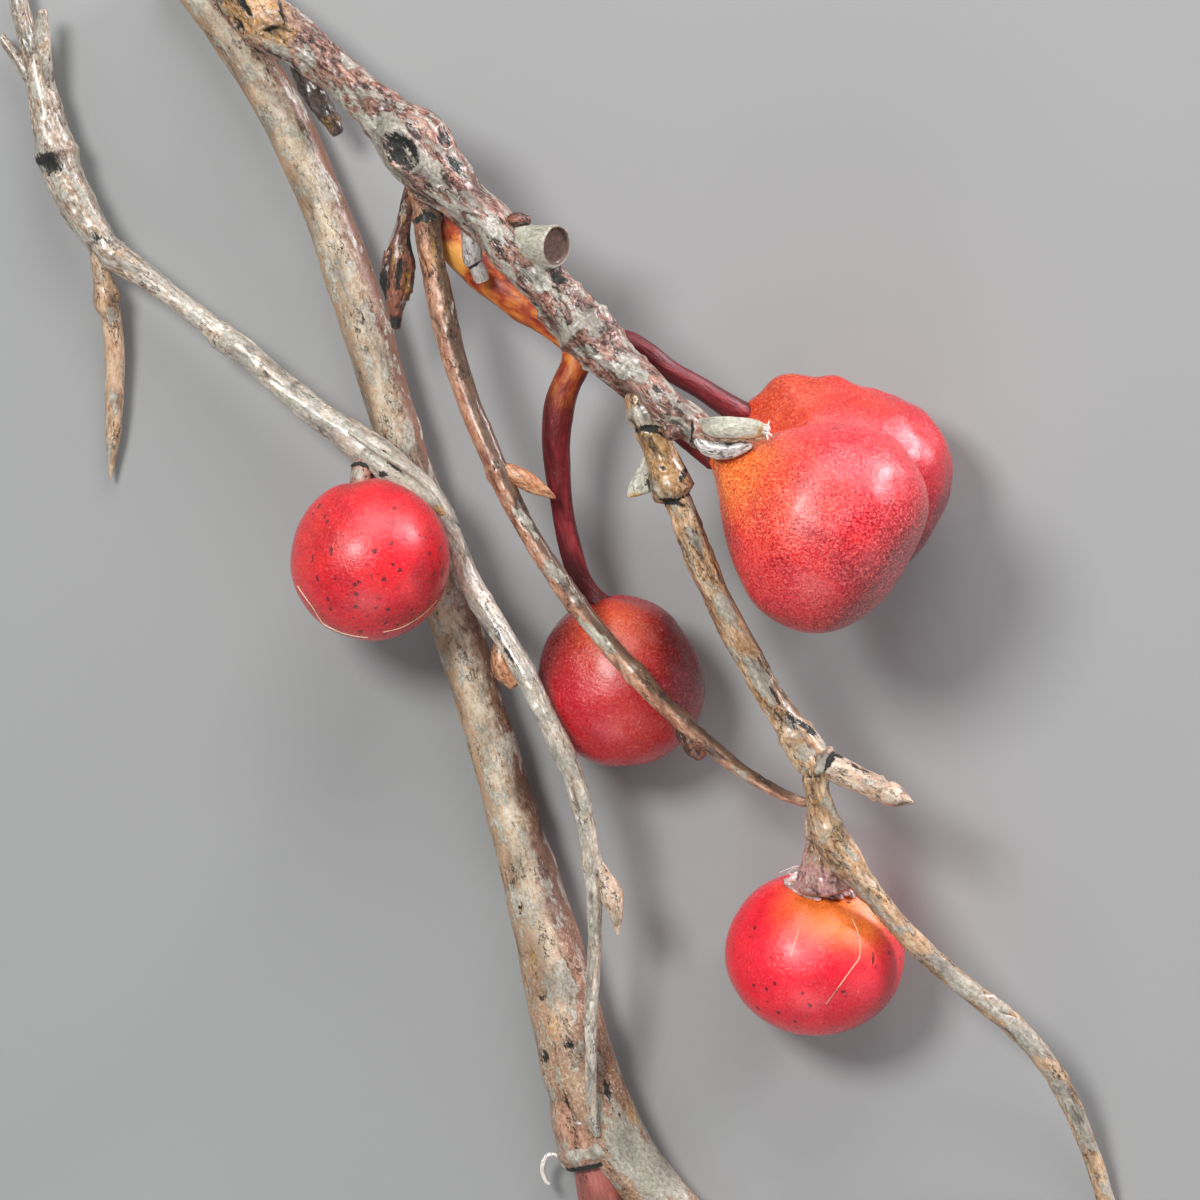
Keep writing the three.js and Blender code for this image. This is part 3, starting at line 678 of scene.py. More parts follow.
# %% Knotty twig
roll_twig("knotty_twig_bark", "knotty_twig", [
    (-37.5, 62.5, 4.2, 2.6), (-33.8, 58.5, 6.2, 2.85), (-30.0, 55.8, 8.0, 2.5),
    (-27.0, 53.2, 9.9, 2.25), (-24.0, 50.6, 11.8, 2.15), (-21.5, 48.4, 13.4, 2.6),
    (-18.6, 45.6, 14.8, 3.7), (-16.2, 42.6, 15.4, 3.2), (-13.8, 40.2, 16.0, 2.35),
    (-11.4, 37.9, 16.5, 2.3), (-9.2, 35.5, 17.0, 2.45), (-7.0, 33.0, 17.6, 2.25),
    (-4.7, 30.6, 18.2, 2.25), (-2.8, 28.4, 18.9, 2.55), (-0.4, 25.9, 19.8, 2.6),
    (1.9, 23.6, 20.8, 2.1), (4.2, 21.6, 22.0, 2.0), (6.6, 19.3, 23.4, 1.85),
    (8.8, 17.6, 24.6, 1.75), (10.6, 16.1, 25.6, 1.45), (12.2, 15.4, 26.5, 1.05),
    (13.8, 15.2, 27.1, 0.65), (15.0, 15.15, 27.4, 0.3),
], KNOT_BARK, sides=104, spacing=0.17, start=SAWN_END, rough=0.24, lump=0.42, cracked=1.0,
    rings=[
        (-1.6, 27.2, 0.5, 0.3, -0.4), (0.5, 25.1, 0.35, 0.25, 0.0), (-4.0, 30.0, 0.35, 0.22, 0.3),
        (-21.6, 48.6, 0.5, 0.2, 0.0), (3.0, 22.6, 0.4, 0.2, 0.0), (7.4, 18.7, 0.35, -0.15, 0.5),
        (10.2, 16.6, 0.3, 0.12, 0.3),
    ],
    spots=[
        spot(-19.6, 44.9, 2.1, 1.2, -52, lift=-0.9, rim=0.6, dark=1.9),
        spot(-19.5, 44.7, 1.1, 0.45, -52, lift=0.5, dark=-1.5, pale=1.2),
        spot(-21.6, 43.6, 2.4, 0.7, -52, lift=0.1, dark=-0.6, pale=0.9),
        spot(-15.7, 46.2, 1.1, 0.7, -55, lift=-0.3, rim=0.15, dark=1.1),
        spot(-14.4, 43.4, 1.3, 0.7, -45, lift=-0.3, rim=0.1, dark=1.1),
        spot(-4.3, 32.2, 1.0, 0.7, -40, lift=-0.6, rim=0.3, dark=1.2, ochre=0.4),
        spot(-22.6, 47.2, 1.0, 0.5, -40, lift=0.25, pale=0.9),
        spot(-34.4, 58.8, 3.6, 2.2, -30, lift=0.3, rim=0.2, ochre=1.5),
        spot(-31.2, 56.8, 1.0, 0.8, 20, lift=0.4, rim=0.1, ochre=0.9),
        spot(-36.6, 60.4, 1.2, 0.8, 0, lift=0.3, rim=0.2, dark=0.8, ochre=0.7),
        spot(-35.4, 59.4, 1.6, 0.24, -60, lift=-0.5, rim=0.25, dark=1.2),
        spot(-33.0, 57.4, 1.4, 0.24, 15, lift=-0.5, rim=0.25, dark=1.2),
        spot(-36.2, 58.0, 1.3, 0.4, -50, lift=-0.3, rim=0.2, dark=1.1),
        spot(-32.0, 59.0, 1.2, 0.22, -70, lift=-0.4, rim=0.2, dark=1.2),
        spot(-34.2, 60.4, 1.0, 0.5, 20, lift=0.3, rim=0.1, pale=1.3),
        spot(-32.2, 55.8, 1.2, 0.4, -40, lift=0.2, rim=0.1, pale=1.3),
        spot(-29.6, 56.2, 0.8, 0.5, 0, lift=-0.2, rim=0.2, dark=0.9),
        spot(-10.8, 36.4, 1.4, 0.6, -40, lift=0.2, rim=0.1, pale=0.5),
        spot(0.2, 24.8, 0.8, 0.8, 0, lift=0.3, rim=0.2, dark=0.3),
        spot(5.6, 20.8, 1.3, 0.4, -45, lift=-0.2, rim=0.1, dark=0.8),
        spot(1.0, 23.0, 1.0, 0.4, -50, lift=-0.2, rim=0.1, dark=0.7),
        spot(-7.4, 32.0, 1.2, 0.4, -45, lift=-0.2, rim=0.1, dark=0.7),
        spot(8.1, 16.9, 1.2, 1.1, 0, lift=-0.15, rim=0.3, pale=0.6),
        spot(9.2, 16.9, 0.25, 1.0, 0, lift=-0.2, dark=1.3),
        spot(12.2, 15.0, 1.6, 0.6, 10, dark=-0.6, pale=1.0),
        spot(13.8, 15.6, 1.3, 0.3, 0, lift=-0.3, dark=1.4),
        spot(-17.4, 43.0, 1.8, 0.8, -50, dark=-0.4, pale=1.2),
        spot(-2.0, 27.6, 0.5, 2.2, -48, lift=0.1, dark=-0.5, pale=1.2),
        spot(-20.6, 47.4, 1.4, 0.7, -50, lift=0.1, dark=-0.4, pale=1.2),
        spot(-5.6, 31.4, 0.7, 0.6, -40, lift=0.3, rim=0.1, pale=1.2),
    ])

# %% [markdown]
# ## The whip, the fruiting twig and the side shoot
# Three thinner twigs of three colours. The whip is brown and smooth. The fruiting twig is
# golden, with a cracked ring, a collar, and a swollen joint where a spur leaves it. The side
# shoot is silvery, with a thick part near its upper end and a node by the left hip.

# %% Whip
roll_twig("whip_twig_bark", "whip_twig", [
    (-17.7, 41.0, 14.3, 1.6), (-17.4, 39.0, 13.6, 1.35), (-17.1, 36.0, 13.2, 1.35),
    (-16.4, 32.0, 13.3, 1.3), (-15.4, 27.5, 13.6, 1.3), (-14.2, 23.0, 14.0, 1.2),
    (-13.0, 19.5, 14.4, 1.12), (-11.4, 15.6, 15.0, 1.15), (-10.0, 12.4, 15.4, 1.15),
    (-8.2, 8.6, 16.0, 1.0), (-5.9, 4.7, 16.6, 1.0), (-4.2, 2.2, 16.9, 1.05),
    (-2.3, -0.5, 17.2, 1.05), (-0.6, -2.7, 17.4, 0.95), (2.4, -6.2, 17.7, 1.0),
    (4.0, -7.9, 17.8, 1.05), (6.0, -10.1, 17.8, 0.92), (8.8, -12.6, 17.6, 0.9),
    (11.8, -15.2, 17.2, 0.8), (14.8, -17.5, 16.6, 0.68), (18.0, -19.3, 15.9, 0.56),
    (20.6, -20.3, 15.4, 0.48),
], WHIP_BARK, sides=40, spacing=0.22, rough=0.12, lump=0.1,
    rings=[(-17.2, 38.4, 0.5, 0.25, 0.5), (-10.1, 12.8, 0.6, 0.15, 0.2), (-2.4, -0.4, 0.5, 0.12, 0.0),
           (3.4, -7.2, 0.5, 0.15, 0.2), (8.6, -12.4, 0.4, 0.12, 0.4)],
    spots=[
        spot(-16.8, 35.0, 3.0, 0.8, 85, dark=0.3, ochre=0.7),
        # Three pale streaks along the top: painted highlights, laid on as pale lichen.
        spot(-7.6, 8.0, 2.4, 0.5, -52, pale=0.9),
        spot(-4.2, 2.4, 2.4, 0.5, -50, pale=1.0),
        spot(0.4, -4.2, 2.2, 0.5, -45, pale=0.9),
        spot(-17.6, 38.6, 0.9, 0.8, 0, lift=0.1, rim=0.2, dark=0.9),
        spot(3.1, -4.6, 0.6, 0.4, -45, lift=0.25, dark=0.2, pale=0.6),
        spot(-10.4, 13.8, 0.8, 0.4, -60, dark=0.8),
    ])

# %% Fruiting twig
roll_twig("fruiting_twig_bark", "fruiting_twig", [
    (4.0, 20.4, 22.0, 1.5), (4.6, 18.4, 21.8, 1.75), (5.0, 16.9, 21.6, 1.65),
    (5.7, 15.3, 21.4, 1.55), (6.3, 13.8, 21.2, 1.65), (6.8, 12.4, 21.1, 2.0),
    (7.3, 11.0, 21.0, 2.15), (7.7, 10.1, 20.9, 1.5), (8.2, 8.9, 20.8, 1.35), (8.8, 7.2, 20.7, 1.45),
    (10.0, 4.0, 20.2, 1.45), (11.6, 0.5, 19.8, 1.4), (13.3, -3.0, 19.4, 1.45),
    (15.0, -6.0, 19.0, 1.4), (16.8, -9.2, 18.8, 1.42), (18.6, -11.9, 18.5, 1.5),
    (20.3, -14.6, 18.2, 1.85), (21.4, -16.6, 18.1, 1.8), (21.6, -18.8, 17.9, 1.4),
    (22.2, -21.4, 17.5, 1.5), (23.0, -23.6, 17.0, 1.8), (24.4, -25.8, 16.6, 1.75),
    (26.3, -28.4, 16.1, 1.35), (29.2, -31.7, 15.0, 1.12), (31.8, -34.5, 13.8, 1.12),
    (34.5, -37.0, 12.5, 1.1), (37.5, -39.5, 11.0, 1.1), (40.5, -41.8, 9.4, 1.1),
    (43.5, -44.8, 7.6, 1.08), (46.0, -48.0, 6.0, 1.06), (47.8, -51.5, 4.6, 1.0),
    (49.2, -55.0, 3.3, 0.92), (50.4, -58.4, 2.2, 0.88), (51.4, -62.0, 1.4, 0.82),
    (52.3, -65.5, 0.9, 0.75),
], GOLD_BARK, sides=48, spacing=0.2, end=SAWN_END, rough=0.18, lump=0.14,
    rings=[
        (4.75, 17.4, 0.22, -0.28, 0.9), (4.5, 18.6, 0.4, 0.2, 0.0), (7.35, 10.7, 0.4, 0.2, 0.0),
        (7.6, 10.1, 0.22, -0.2, 0.9), (19.4, -13.2, 0.5, 0.22, 0.0), (21.5, -17.6, 0.25, -0.2, 0.6),
        (22.6, -22.6, 0.4, 0.2, 0.0), (26.6, -28.8, 0.5, 0.15, 0.2), (34.0, -36.6, 0.5, 0.1, 0.2),
        (46.2, -48.4, 0.5, 0.1, 0.0),
    ],
    spots=[
        spot(22.4, -15.8, 1.1, 0.7, 30, lift=-0.2, rim=0.3, dark=1.1),
        spot(9.6, 6.6, 0.7, 0.4, -60, lift=-0.1, rim=0.1, dark=0.8),
        spot(19.2, -12.2, 1.2, 0.3, -60, lift=-0.1, dark=0.8),
        spot(5.8, 15.0, 1.1, 0.8, -60, lift=0.1, rim=0.1, ochre=0.5),
        spot(23.6, -23.8, 1.0, 0.4, -60, lift=-0.1, rim=0.1, dark=0.7),
        spot(6.2, 11.4, 0.7, 0.5, 0, lift=0.2, rim=0.1, pale=0.8),
        spot(7.8, 11.9, 0.7, 0.4, 20, lift=0.15, rim=0.1, ochre=0.6),
        spot(22.0, -19.6, 0.8, 0.5, -80, lift=0.2, dark=0.4, ochre=0.3),
        spot(6.0, 14.0, 3.6, 1.7, -65, ochre=1.4),
        spot(7.2, 11.0, 1.0, 0.6, -20, lift=0.1, dark=-0.4, ochre=0.5, pale=0.5),
        spot(6.3, 13.1, 0.45, 0.35, 0, lift=-0.1, rim=0.15, dark=1.1),
        spot(7.1, 9.8, 1.3, 0.35, -15, lift=-0.2, dark=1.3),
        spot(5.0, 17.0, 1.4, 0.4, -20, lift=-0.1, dark=1.3),
        spot(4.6, 18.0, 1.2, 0.9, -20, lift=0.1, dark=-0.3, pale=1.2),
        spot(8.6, 13.0, 0.3, 2.4, -30, lift=-0.1, dark=0.9),
        spot(9.4, 6.0, 0.5, 1.0, 30, pale=1.3),
        spot(12.4, -0.6, 1.2, 0.6, -60, pale=1.3),
        spot(15.8, -8.0, 1.8, 0.5, -60, pale=1.2),
        spot(17.4, -9.4, 1.6, 0.3, -60, lift=-0.1, dark=1.2),
        spot(20.4, -12.6, 1.6, 0.4, -40, lift=-0.1, dark=1.1),
        # Three long pale streaks along the top: painted highlights, laid on as pale lichen.
        spot(36.0, -38.2, 4.0, 0.6, -40, pale=1.0),
        spot(42.4, -43.4, 4.0, 0.6, -45, pale=1.0),
        spot(47.8, -51.8, 4.0, 0.6, -62, pale=0.9),
        spot(16.0, -7.4, 1.6, 0.6, -60, pale=1.0),
    ])

# %% Side shoot
roll_twig("side_shoot_bark", "side_shoot", [
    (-59.2, 63.0, 3.0, 0.85), (-58.6, 60.0, 3.1, 0.95), (-57.8, 57.0, 3.2, 1.0),
    (-57.0, 54.0, 3.4, 1.2), (-56.0, 50.5, 3.6, 1.6), (-55.4, 47.5, 3.8, 1.8),
    (-54.8, 45.2, 4.0, 2.1), (-53.9, 42.4, 4.2, 2.0), (-52.5, 39.6, 4.4, 1.85),
    (-51.1, 37.3, 4.7, 1.7), (-49.3, 35.0, 4.9, 1.6), (-47.2, 33.6, 5.1, 1.4),
    (-45.0, 32.1, 5.4, 1.2), (-40.0, 28.2, 6.1, 1.15), (-38.2, 26.8, 6.3, 1.3),
    (-35.0, 24.3, 6.8, 1.3), (-30.0, 20.0, 7.8, 1.42), (-27.3, 18.0, 8.2, 1.5),
    (-24.8, 16.2, 8.6, 1.75), (-22.5, 14.5, 9.0, 1.95), (-20.0, 12.6, 9.1, 1.75),
    (-17.5, 10.3, 9.2, 1.5), (-15.7, 8.0, 9.2, 1.3), (-14.2, 4.9, 9.4, 1.05),
    (-13.1, 2.0, 9.9, 1.1), (-11.8, -0.5, 10.8, 1.2), (-10.3, -2.8, 11.7, 1.15),
    (-8.9, -5.0, 12.4, 1.12), (-7.3, -7.7, 13.2, 1.18), (-6.2, -10.0, 13.6, 1.05),
    (-5.0, -12.5, 13.8, 1.1), (-3.8, -15.0, 13.8, 1.15), (-2.7, -17.5, 13.6, 0.98),
    (-2.0, -20.0, 13.3, 0.95), (-1.3, -23.0, 12.9, 0.92), (-0.9, -26.0, 12.6, 0.95),
    (-0.6, -30.0, 12.1, 0.8), (-0.5, -35.0, 11.4, 0.72), (-0.8, -40.0, 10.6, 0.68),
    (-0.9, -45.0, 9.8, 0.6), (-0.9, -49.0, 9.1, 0.56), (-0.7, -52.0, 8.4, 0.48),
    (-0.3, -53.8, 7.6, 0.36),
], GREY_BARK, sides=44, spacing=0.22, start=SAWN_END, rough=0.14, lump=0.12,
    rings=[(-55.4, 44.6, 0.5, 0.25, 0.4), (-49.0, 34.6, 0.5, 0.15, 0.3), (-38.0, 26.6, 0.4, 0.12, 0.3),
           (-12.0, 0.0, 0.5, 0.1, 0.0), (-0.9, -26.4, 0.6, 0.15, 0.2)],
    spots=[
        spot(-55.5, 43.9, 1.5, 1.1, -20, lift=-0.4, rim=0.2, dark=1.2, ochre=0.3),
        spot(-23.2, 13.6, 0.6, 0.5, 0, lift=-0.2, rim=0.1, dark=1.1),
        spot(-21.3, 14.3, 1.1, 0.4, -50, lift=-0.2, rim=0.1, dark=1.0),
        spot(-22.2, 12.5, 0.8, 0.5, 20, lift=-0.2, rim=0.1, dark=1.1),
        spot(-38.2, 25.8, 0.8, 0.5, -30, lift=0.3, rim=0.1, dark=0.3, pale=0.5),
        spot(-48.4, 34.8, 1.6, 0.6, -35, lift=0.1, rim=0.1, ochre=0.7),
        spot(-50.6, 36.4, 1.2, 0.7, -50, lift=-0.1, rim=0.1, dark=0.9, ochre=0.2),
        spot(-9.0, -5.6, 0.8, 0.3, -60, dark=0.7),
        spot(-53.6, 40.6, 1.6, 0.5, -70, lift=0.1, rim=0.1, dark=0.4, ochre=0.5),
        # A long dark streak here is painted shadow on the shoot.
        spot(-10.4, -3.0, 3.4, 0.5, -62, dark=0.7),
        spot(-55.6, 52.4, 2.6, 0.6, -80, ochre=0.8),
    ])

# %% [markdown]
# ## Spurs, stubs, buds and the thorn
# Each is a short twig of its own. The pruned spur and the pegged one end in a sawn face of
# dark wood. The dark stub is nearly black. Buds are fat in the middle and pointed, and some
# have a low section, because their scales are pressed together. The withered bud is long and
# torn, and the collar bract is a pale scale that stands off the fruiting twig's collar.

# %% Spurs and stubs
roll_twig("pruned_spur_bark", "pruned_spur", [
    (-8.6, 35.5, 16.5, 2.0), (-6.6, 35.5, 18.4, 2.0), (-5.2, 35.4, 19.7, 2.1), (-4.5, 35.3, 20.3, 2.15),
], BRACT_BARK, sides=56, spacing=0.16, end=SAWN_END, rough=0.1, lump=0.2)
roll_twig("dark_stub_bark", "dark_stub", [
    (-30.6, 55.2, 7.4, 1.0), (-29.6, 52.6, 6.9, 1.15), (-28.4, 50.2, 6.6, 1.15),
    (-27.2, 48.4, 6.4, 1.0), (-26.4, 47.2, 6.3, 0.75),
], BLACK_BARK, sides=40, spacing=0.16, rough=0.3, lump=0.3,
    spots=[
        spot(-27.0, 48.0, 1.1, 0.8, 0, lift=0.1, dark=-0.4, ochre=1.1),
        spot(-28.8, 51.6, 0.7, 0.25, -60, lift=0.1, pale=1.3),
    ])
roll_twig("pegged_spur_bark", "pegged_spur", [
    (-13.2, 38.2, 15.8, 0.95), (-12.9, 36.0, 15.4, 1.0), (-12.7, 34.0, 15.2, 1.05),
    (-12.4, 33.4, 15.1, 0.8), (-12.1, 32.8, 15.0, 0.85), (-11.8, 32.0, 14.8, 0.75),
], SILVER_BARK, sides=32, spacing=0.15, end=SAWN_END, rough=0.12, lump=0.15,
    rings=[(-12.5, 33.7, 0.16, -0.15, 1.2)])
roll_twig("end_spur_bark", "end_spur", [
    (20.8, -15.4, 18.2, 1.5), (22.6, -16.3, 18.5, 1.45), (24.6, -17.3, 18.9, 1.3),
    (26.4, -18.1, 19.1, 1.2), (27.6, -18.7, 19.3, 1.3), (28.2, -18.9, 19.4, 1.2),
], PALE_BARK, sides=44, spacing=0.16, rough=0.14, lump=0.15,
    rings=[(22.4, -16.2, 0.35, 0.35, -0.4), (22.95, -16.5, 0.2, -0.15, 1.1),
           (27.8, -18.8, 0.25, 0.15, 0.3)],
    spots=[
        spot(26.0, -16.9, 2.0, 0.3, -27, lift=-0.12, dark=0.85),
        spot(22.8, -15.9, 0.7, 0.6, 60, lift=-0.1, dark=1.2),
        spot(24.0, -15.4, 0.7, 0.4, -20, lift=-0.1, rim=0.1, dark=0.9),
        spot(22.4, -18.3, 0.8, 0.4, -20, lift=-0.1, dark=1.1),
        spot(22.0, -16.4, 0.5, 1.4, -20, lift=0.1, dark=-0.6, pale=1.4),
    ])
roll_twig("whip_spur_bark", "whip_spur", [
    (7.8, -11.7, 17.4, 0.7), (8.6, -13.2, 17.0, 1.1), (9.4, -14.6, 16.8, 1.05),
    (10.1, -15.6, 16.7, 0.6),
], DARK_BARK, sides=28, spacing=0.2, rough=0.2, lump=0.25, flatten=0.7)

# %% Withered bud and collar bract
roll_twig("withered_bud_bark", "withered_bud", [
    (-18.9, 41.6, 14.0, 0.8), (-19.5, 38.6, 13.0, 0.75), (-20.0, 36.2, 12.4, 1.1),
    (-20.3, 33.4, 12.0, 1.6), (-20.4, 31.2, 11.7, 1.45), (-20.6, 29.4, 11.4, 0.9),
    (-20.5, 27.4, 11.2, 0.5),
], DARK_BARK, sides=52, spacing=0.13, rough=0.3, lump=0.3,
    spots=[
        spot(-21.2, 36.4, 1.8, 0.35, 75, lift=0.15, pale=1.4),
        spot(-20.1, 32.8, 1.8, 0.3, 82, lift=-0.2, rim=0.05, dark=1.5),
        spot(-19.4, 31.8, 1.4, 0.35, 85, lift=0.1, ochre=1.4),
        spot(-21.8, 31.0, 2.0, 0.45, 88, lift=-0.2, dark=1.5),
        spot(-20.8, 33.8, 1.2, 0.25, 80, lift=0.1, ochre=1.2),
        spot(-19.0, 35.4, 1.6, 0.3, 100, lift=-0.1, dark=1.3),
        spot(-20.5, 27.9, 0.8, 0.7, 0, lift=-0.1, dark=1.5),
        spot(-19.7, 38.4, 1.2, 0.4, 80, lift=0.1, ochre=0.7, pale=0.4),
    ])
roll_twig("collar_bract_bark", "collar_bract", [
    (4.9, 15.2, 20.8, 0.2), (4.5, 13.6, 20.7, 0.55), (4.2, 12.2, 20.7, 0.95), (4.1, 11.2, 20.7, 1.35),
    (4.2, 10.7, 20.7, 1.45),
], BRACT_BARK, sides=36, spacing=0.14, rough=0.1, lump=0.12, flatten=0.45, end=CORNERED_END,
    spots=[
        spot(5.0, 11.8, 0.45, 1.2, 0, dark=1.2),
        spot(4.0, 10.4, 1.4, 0.3, 0, ochre=1.4),
    ])

# %% [markdown]
# The plain buds, the thorn and the twiglets need no spots, so they are one list. Each entry
# is the node, its bark, how rough it is, how flat its section is, and its stations.

# %% Buds, thorn and twiglets
BUDS = [
    ("whip_bud", BUD_BARK, 0.08, 0.75, [
        (-10.3, 13.5, 15.5, 0.45), (-8.8, 12.7, 15.9, 0.85), (-7.2, 11.8, 16.1, 0.95),
        (-5.6, 10.9, 16.3, 0.6), (-4.5, 10.2, 16.4, 0.15)]),
    ("end_bud", PALE_BARK, 0.14, 1.0, [
        (28.2, -18.9, 19.4, 0.9), (28.7, -19.2, 19.5, 1.25), (29.6, -19.6, 19.7, 1.15),
        (30.4, -19.9, 19.8, 0.7), (31.2, -20.2, 19.9, 0.15)]),
    ("side_bud", BUD_BARK, 0.14, 0.9, [
        (-10.0, -3.8, 12.2, 0.5), (-10.0, -5.4, 12.0, 0.95), (-9.7, -7.0, 11.9, 1.1),
        (-8.6, -8.4, 12.1, 0.7)]),
    ("shoot_tip", PALE_BARK, 0.1, 0.6, [
        (-0.7, -25.4, 12.8, 0.4), (0.4, -27.8, 13.0, 0.85), (1.2, -29.6, 13.0, 1.15),
        (1.6, -31.4, 12.8, 0.7), (1.8, -33.5, 12.4, 0.12)]),
    ("side_thorn", THORN_BARK, 0.07, 1.0, [
        (-50.6, 35.4, 4.8, 0.9), (-50.1, 32.4, 4.0, 1.0), (-49.8, 30.8, 3.7, 1.4),
        (-49.7, 29.8, 3.5, 1.35), (-49.3, 28.6, 3.2, 1.05), (-49.0, 25.0, 2.6, 1.0),
        (-49.0, 20.0, 2.0, 0.92), (-49.2, 16.0, 1.6, 0.7), (-49.4, 12.2, 1.4, 0.1)]),
    ("upper_twiglet", GREY_BARK, 0.16, 1.0, [
        (-55.6, 51.0, 4.2, 0.75), (-55.8, 54.0, 4.6, 0.65), (-56.2, 57.0, 5.0, 0.75),
        (-56.2, 59.2, 5.4, 0.6)]),
    ("outer_twiglet", GREY_BARK, 0.14, 1.0, [
        (-57.0, 52.0, 3.6, 0.75), (-58.6, 54.2, 3.1, 0.6), (-60.4, 56.8, 2.6, 0.5)]),
    ("knot_bud_1", DARK_BARK, 0.2, 0.9, [
        (-9.4, 37.4, 17.6, 0.4), (-8.4, 37.9, 18.2, 0.85), (-7.2, 37.9, 18.4, 0.6)]),
    ("knot_bud_2", KNOT_BARK, 0.1, 0.8, [
        (-1.0, 25.5, 21.9, 0.6), (-0.5, 25.1, 22.3, 0.8), (-0.1, 24.7, 22.2, 0.5)]),
    ("knot_bud_3", STALK_BARK, 0.05, 1.0, [
        (7.1, 16.5, 25.2, 0.75), (7.3, 16.7, 26.2, 0.85), (7.45, 16.85, 26.6, 0.6)]),
]
for node, finish, rough, flatten, stations in BUDS:
    roll_twig(node + "_bark", node, stations, finish, sides=28, spacing=0.16, rough=rough,
              lump=rough, flatten=flatten)

# %% [markdown]
# ## The skin of a hip
# A ripe hip is waxy red, orange where the sun did not reach, and finely mottled, and it is
# painted darker where shade falls on it. Over the mottling lie dark specks. The shine is grainy,
# because the skin is covered in tiny dimples, and pale sparkle dots are painted on as glints.
# `skin` carries three numbers for each point: how much painted shade it takes, how strong the
# orange blush is, and how many specks there are.

# %% Specks
SPECK_TURN = -0.5  # radians that the rows of cells are turned by, so that no speck lies square


def speck_layer(tree, where, ragged_by, share, cell, stretch, small, large):
    """Specks, one to a cell at most. share is how many cells hold one, and small and large are
    their size in cells."""
    stretched = add(tree, "Mapping", {
        "Vector": where,
        "Rotation": (0.0, 0.0, SPECK_TURN),
        "Scale": (1 / cell, 1 / (cell * stretch), 1 / cell),
    })
    cells = add(tree, "TexVoronoi", {
        "Vector": stretched.outputs["Vector"], "Scale": 1.0, "Randomness": 1.0,
    })
    chance = add(tree, "SeparateColor", {"Color": cells.outputs["Color"]})
    size = weighted(tree, [(chance.outputs["Green"], large - small)], small)
    ragged = weighted(tree, [(cells.outputs["Distance"], 1.0), (ragged_by, 0.35)], -0.175)
    inside = threshold(tree, maths(tree, "SUBTRACT", ragged, size), 0.03, -0.03)
    chosen = maths(tree, "LESS_THAN", chance.outputs["Red"], share)
    return maths(tree, "MULTIPLY", inside, chosen)


# %% The hip finish
DEEP_SHADE = srgb(84, 2, 12)
PINK_FLESH = srgb(244, 96, 96)
ORANGE_FLESH = srgb(252, 172, 84)
PAINTED_SPARKLE = srgb(255, 190, 190)
SPECK = srgb(88, 14, 28)


def hip_finish(name, red, orange, shade, specks, streaky):
    """specks is how many of the cells hold a speck, and streaky how strong the fine streaks are."""
    material, tree, shader = new_finish(name)
    where = add(tree, "TexCoord", {}).outputs["Object"]
    shaded, blush, speck_share = parts_of(tree, attribute(tree, "skin"))
    clouds = stretched_noise(tree, where, (170, 170, 170), 5, 0.6)
    mottle = stretched_noise(tree, where, (900, 900, 900), 5, 0.72, 3)
    grains = stretched_noise(tree, where, (3600, 3600, 3600), 3, 0.65, 9)
    worms = stretched_noise(tree, where, (2500, 2500, 2500), 3, 0.6, 21)

    orange_share = threshold(tree, weighted(tree, [(blush, 1.0), (clouds, 0.8)], -0.4), 0.05, 1.0)
    colour = mix(tree, orange_share, ramp(tree, clouds, [(0.36, shade), (0.56, red)]), orange)
    # Painted shade: where the shape's shaded patches reach, the skin turns towards DEEP_SHADE.
    in_shade = threshold(tree, weighted(tree, [(shaded, 1.0), (clouds, 0.6)], -0.3), 0.0, 1.0)
    colour = mix(tree, in_shade, colour, DEEP_SHADE)

    deep = shaded_by(shade, 0.6)
    fleshy = mix(tree, orange_share, PINK_FLESH, ORANGE_FLESH)
    near_half = maths(tree, "ABSOLUTE", weighted(tree, [(worms, 1.0)], -0.5))
    colour = cover(tree, threshold(tree, mottle, 0.53, 0.72), 0.5, colour, deep)
    colour = cover(tree, threshold(tree, near_half, 0.045, 0.012), streaky, colour, fleshy)
    colour = cover(tree, threshold(tree, grains, 0.55, 0.64), 0.8 * streaky, colour, fleshy)
    colour = cover(tree, threshold(tree, grains, 0.46, 0.36), 0.25 + 0.45 * streaky, colour, deep)
    # Painted glints: pale sparkle dots on the highest grains.
    colour = cover(tree, threshold(tree, grains, 0.66, 0.7), 0.4, colour, PAINTED_SPARKLE)

    share = maths(tree, "MULTIPLY", speck_share, specks)
    long_share = maths(tree, "MULTIPLY", share, 0.6)
    round_specks = speck_layer(tree, where, grains, share, 0.00095, 1.0, 0.06, 0.28)
    long_specks = speck_layer(tree, where, grains, long_share, 0.0010, 3.0, 0.05, 0.24)
    speck = maths(tree, "MAXIMUM", round_specks, long_specks)
    colour = cover(tree, speck, 0.85, colour, SPECK)

    tree.links.new(colour, shader.inputs["Base Color"])
    dull = weighted(tree, [(grains, 0.5), (mottle, 0.2)], -0.08)
    tree.links.new(dull, shader.inputs["Roughness"])
    shader.inputs["Specular IOR Level"].default_value = 0.65
    shader.inputs["Coat Weight"].default_value = 0.2
    shader.inputs["Coat Roughness"].default_value = 0.24
    bump(tree, shader, [(grains, 1.0), (mottle, 0.5), (worms, 0.5), (speck, -0.5)], 0.00008)
    return material


# %% Four skins
RED = srgb(226, 14, 36)
ORANGE = srgb(238, 92, 30)
MAROON = srgb(172, 2, 28)
ROSE = srgb(250, 30, 54)

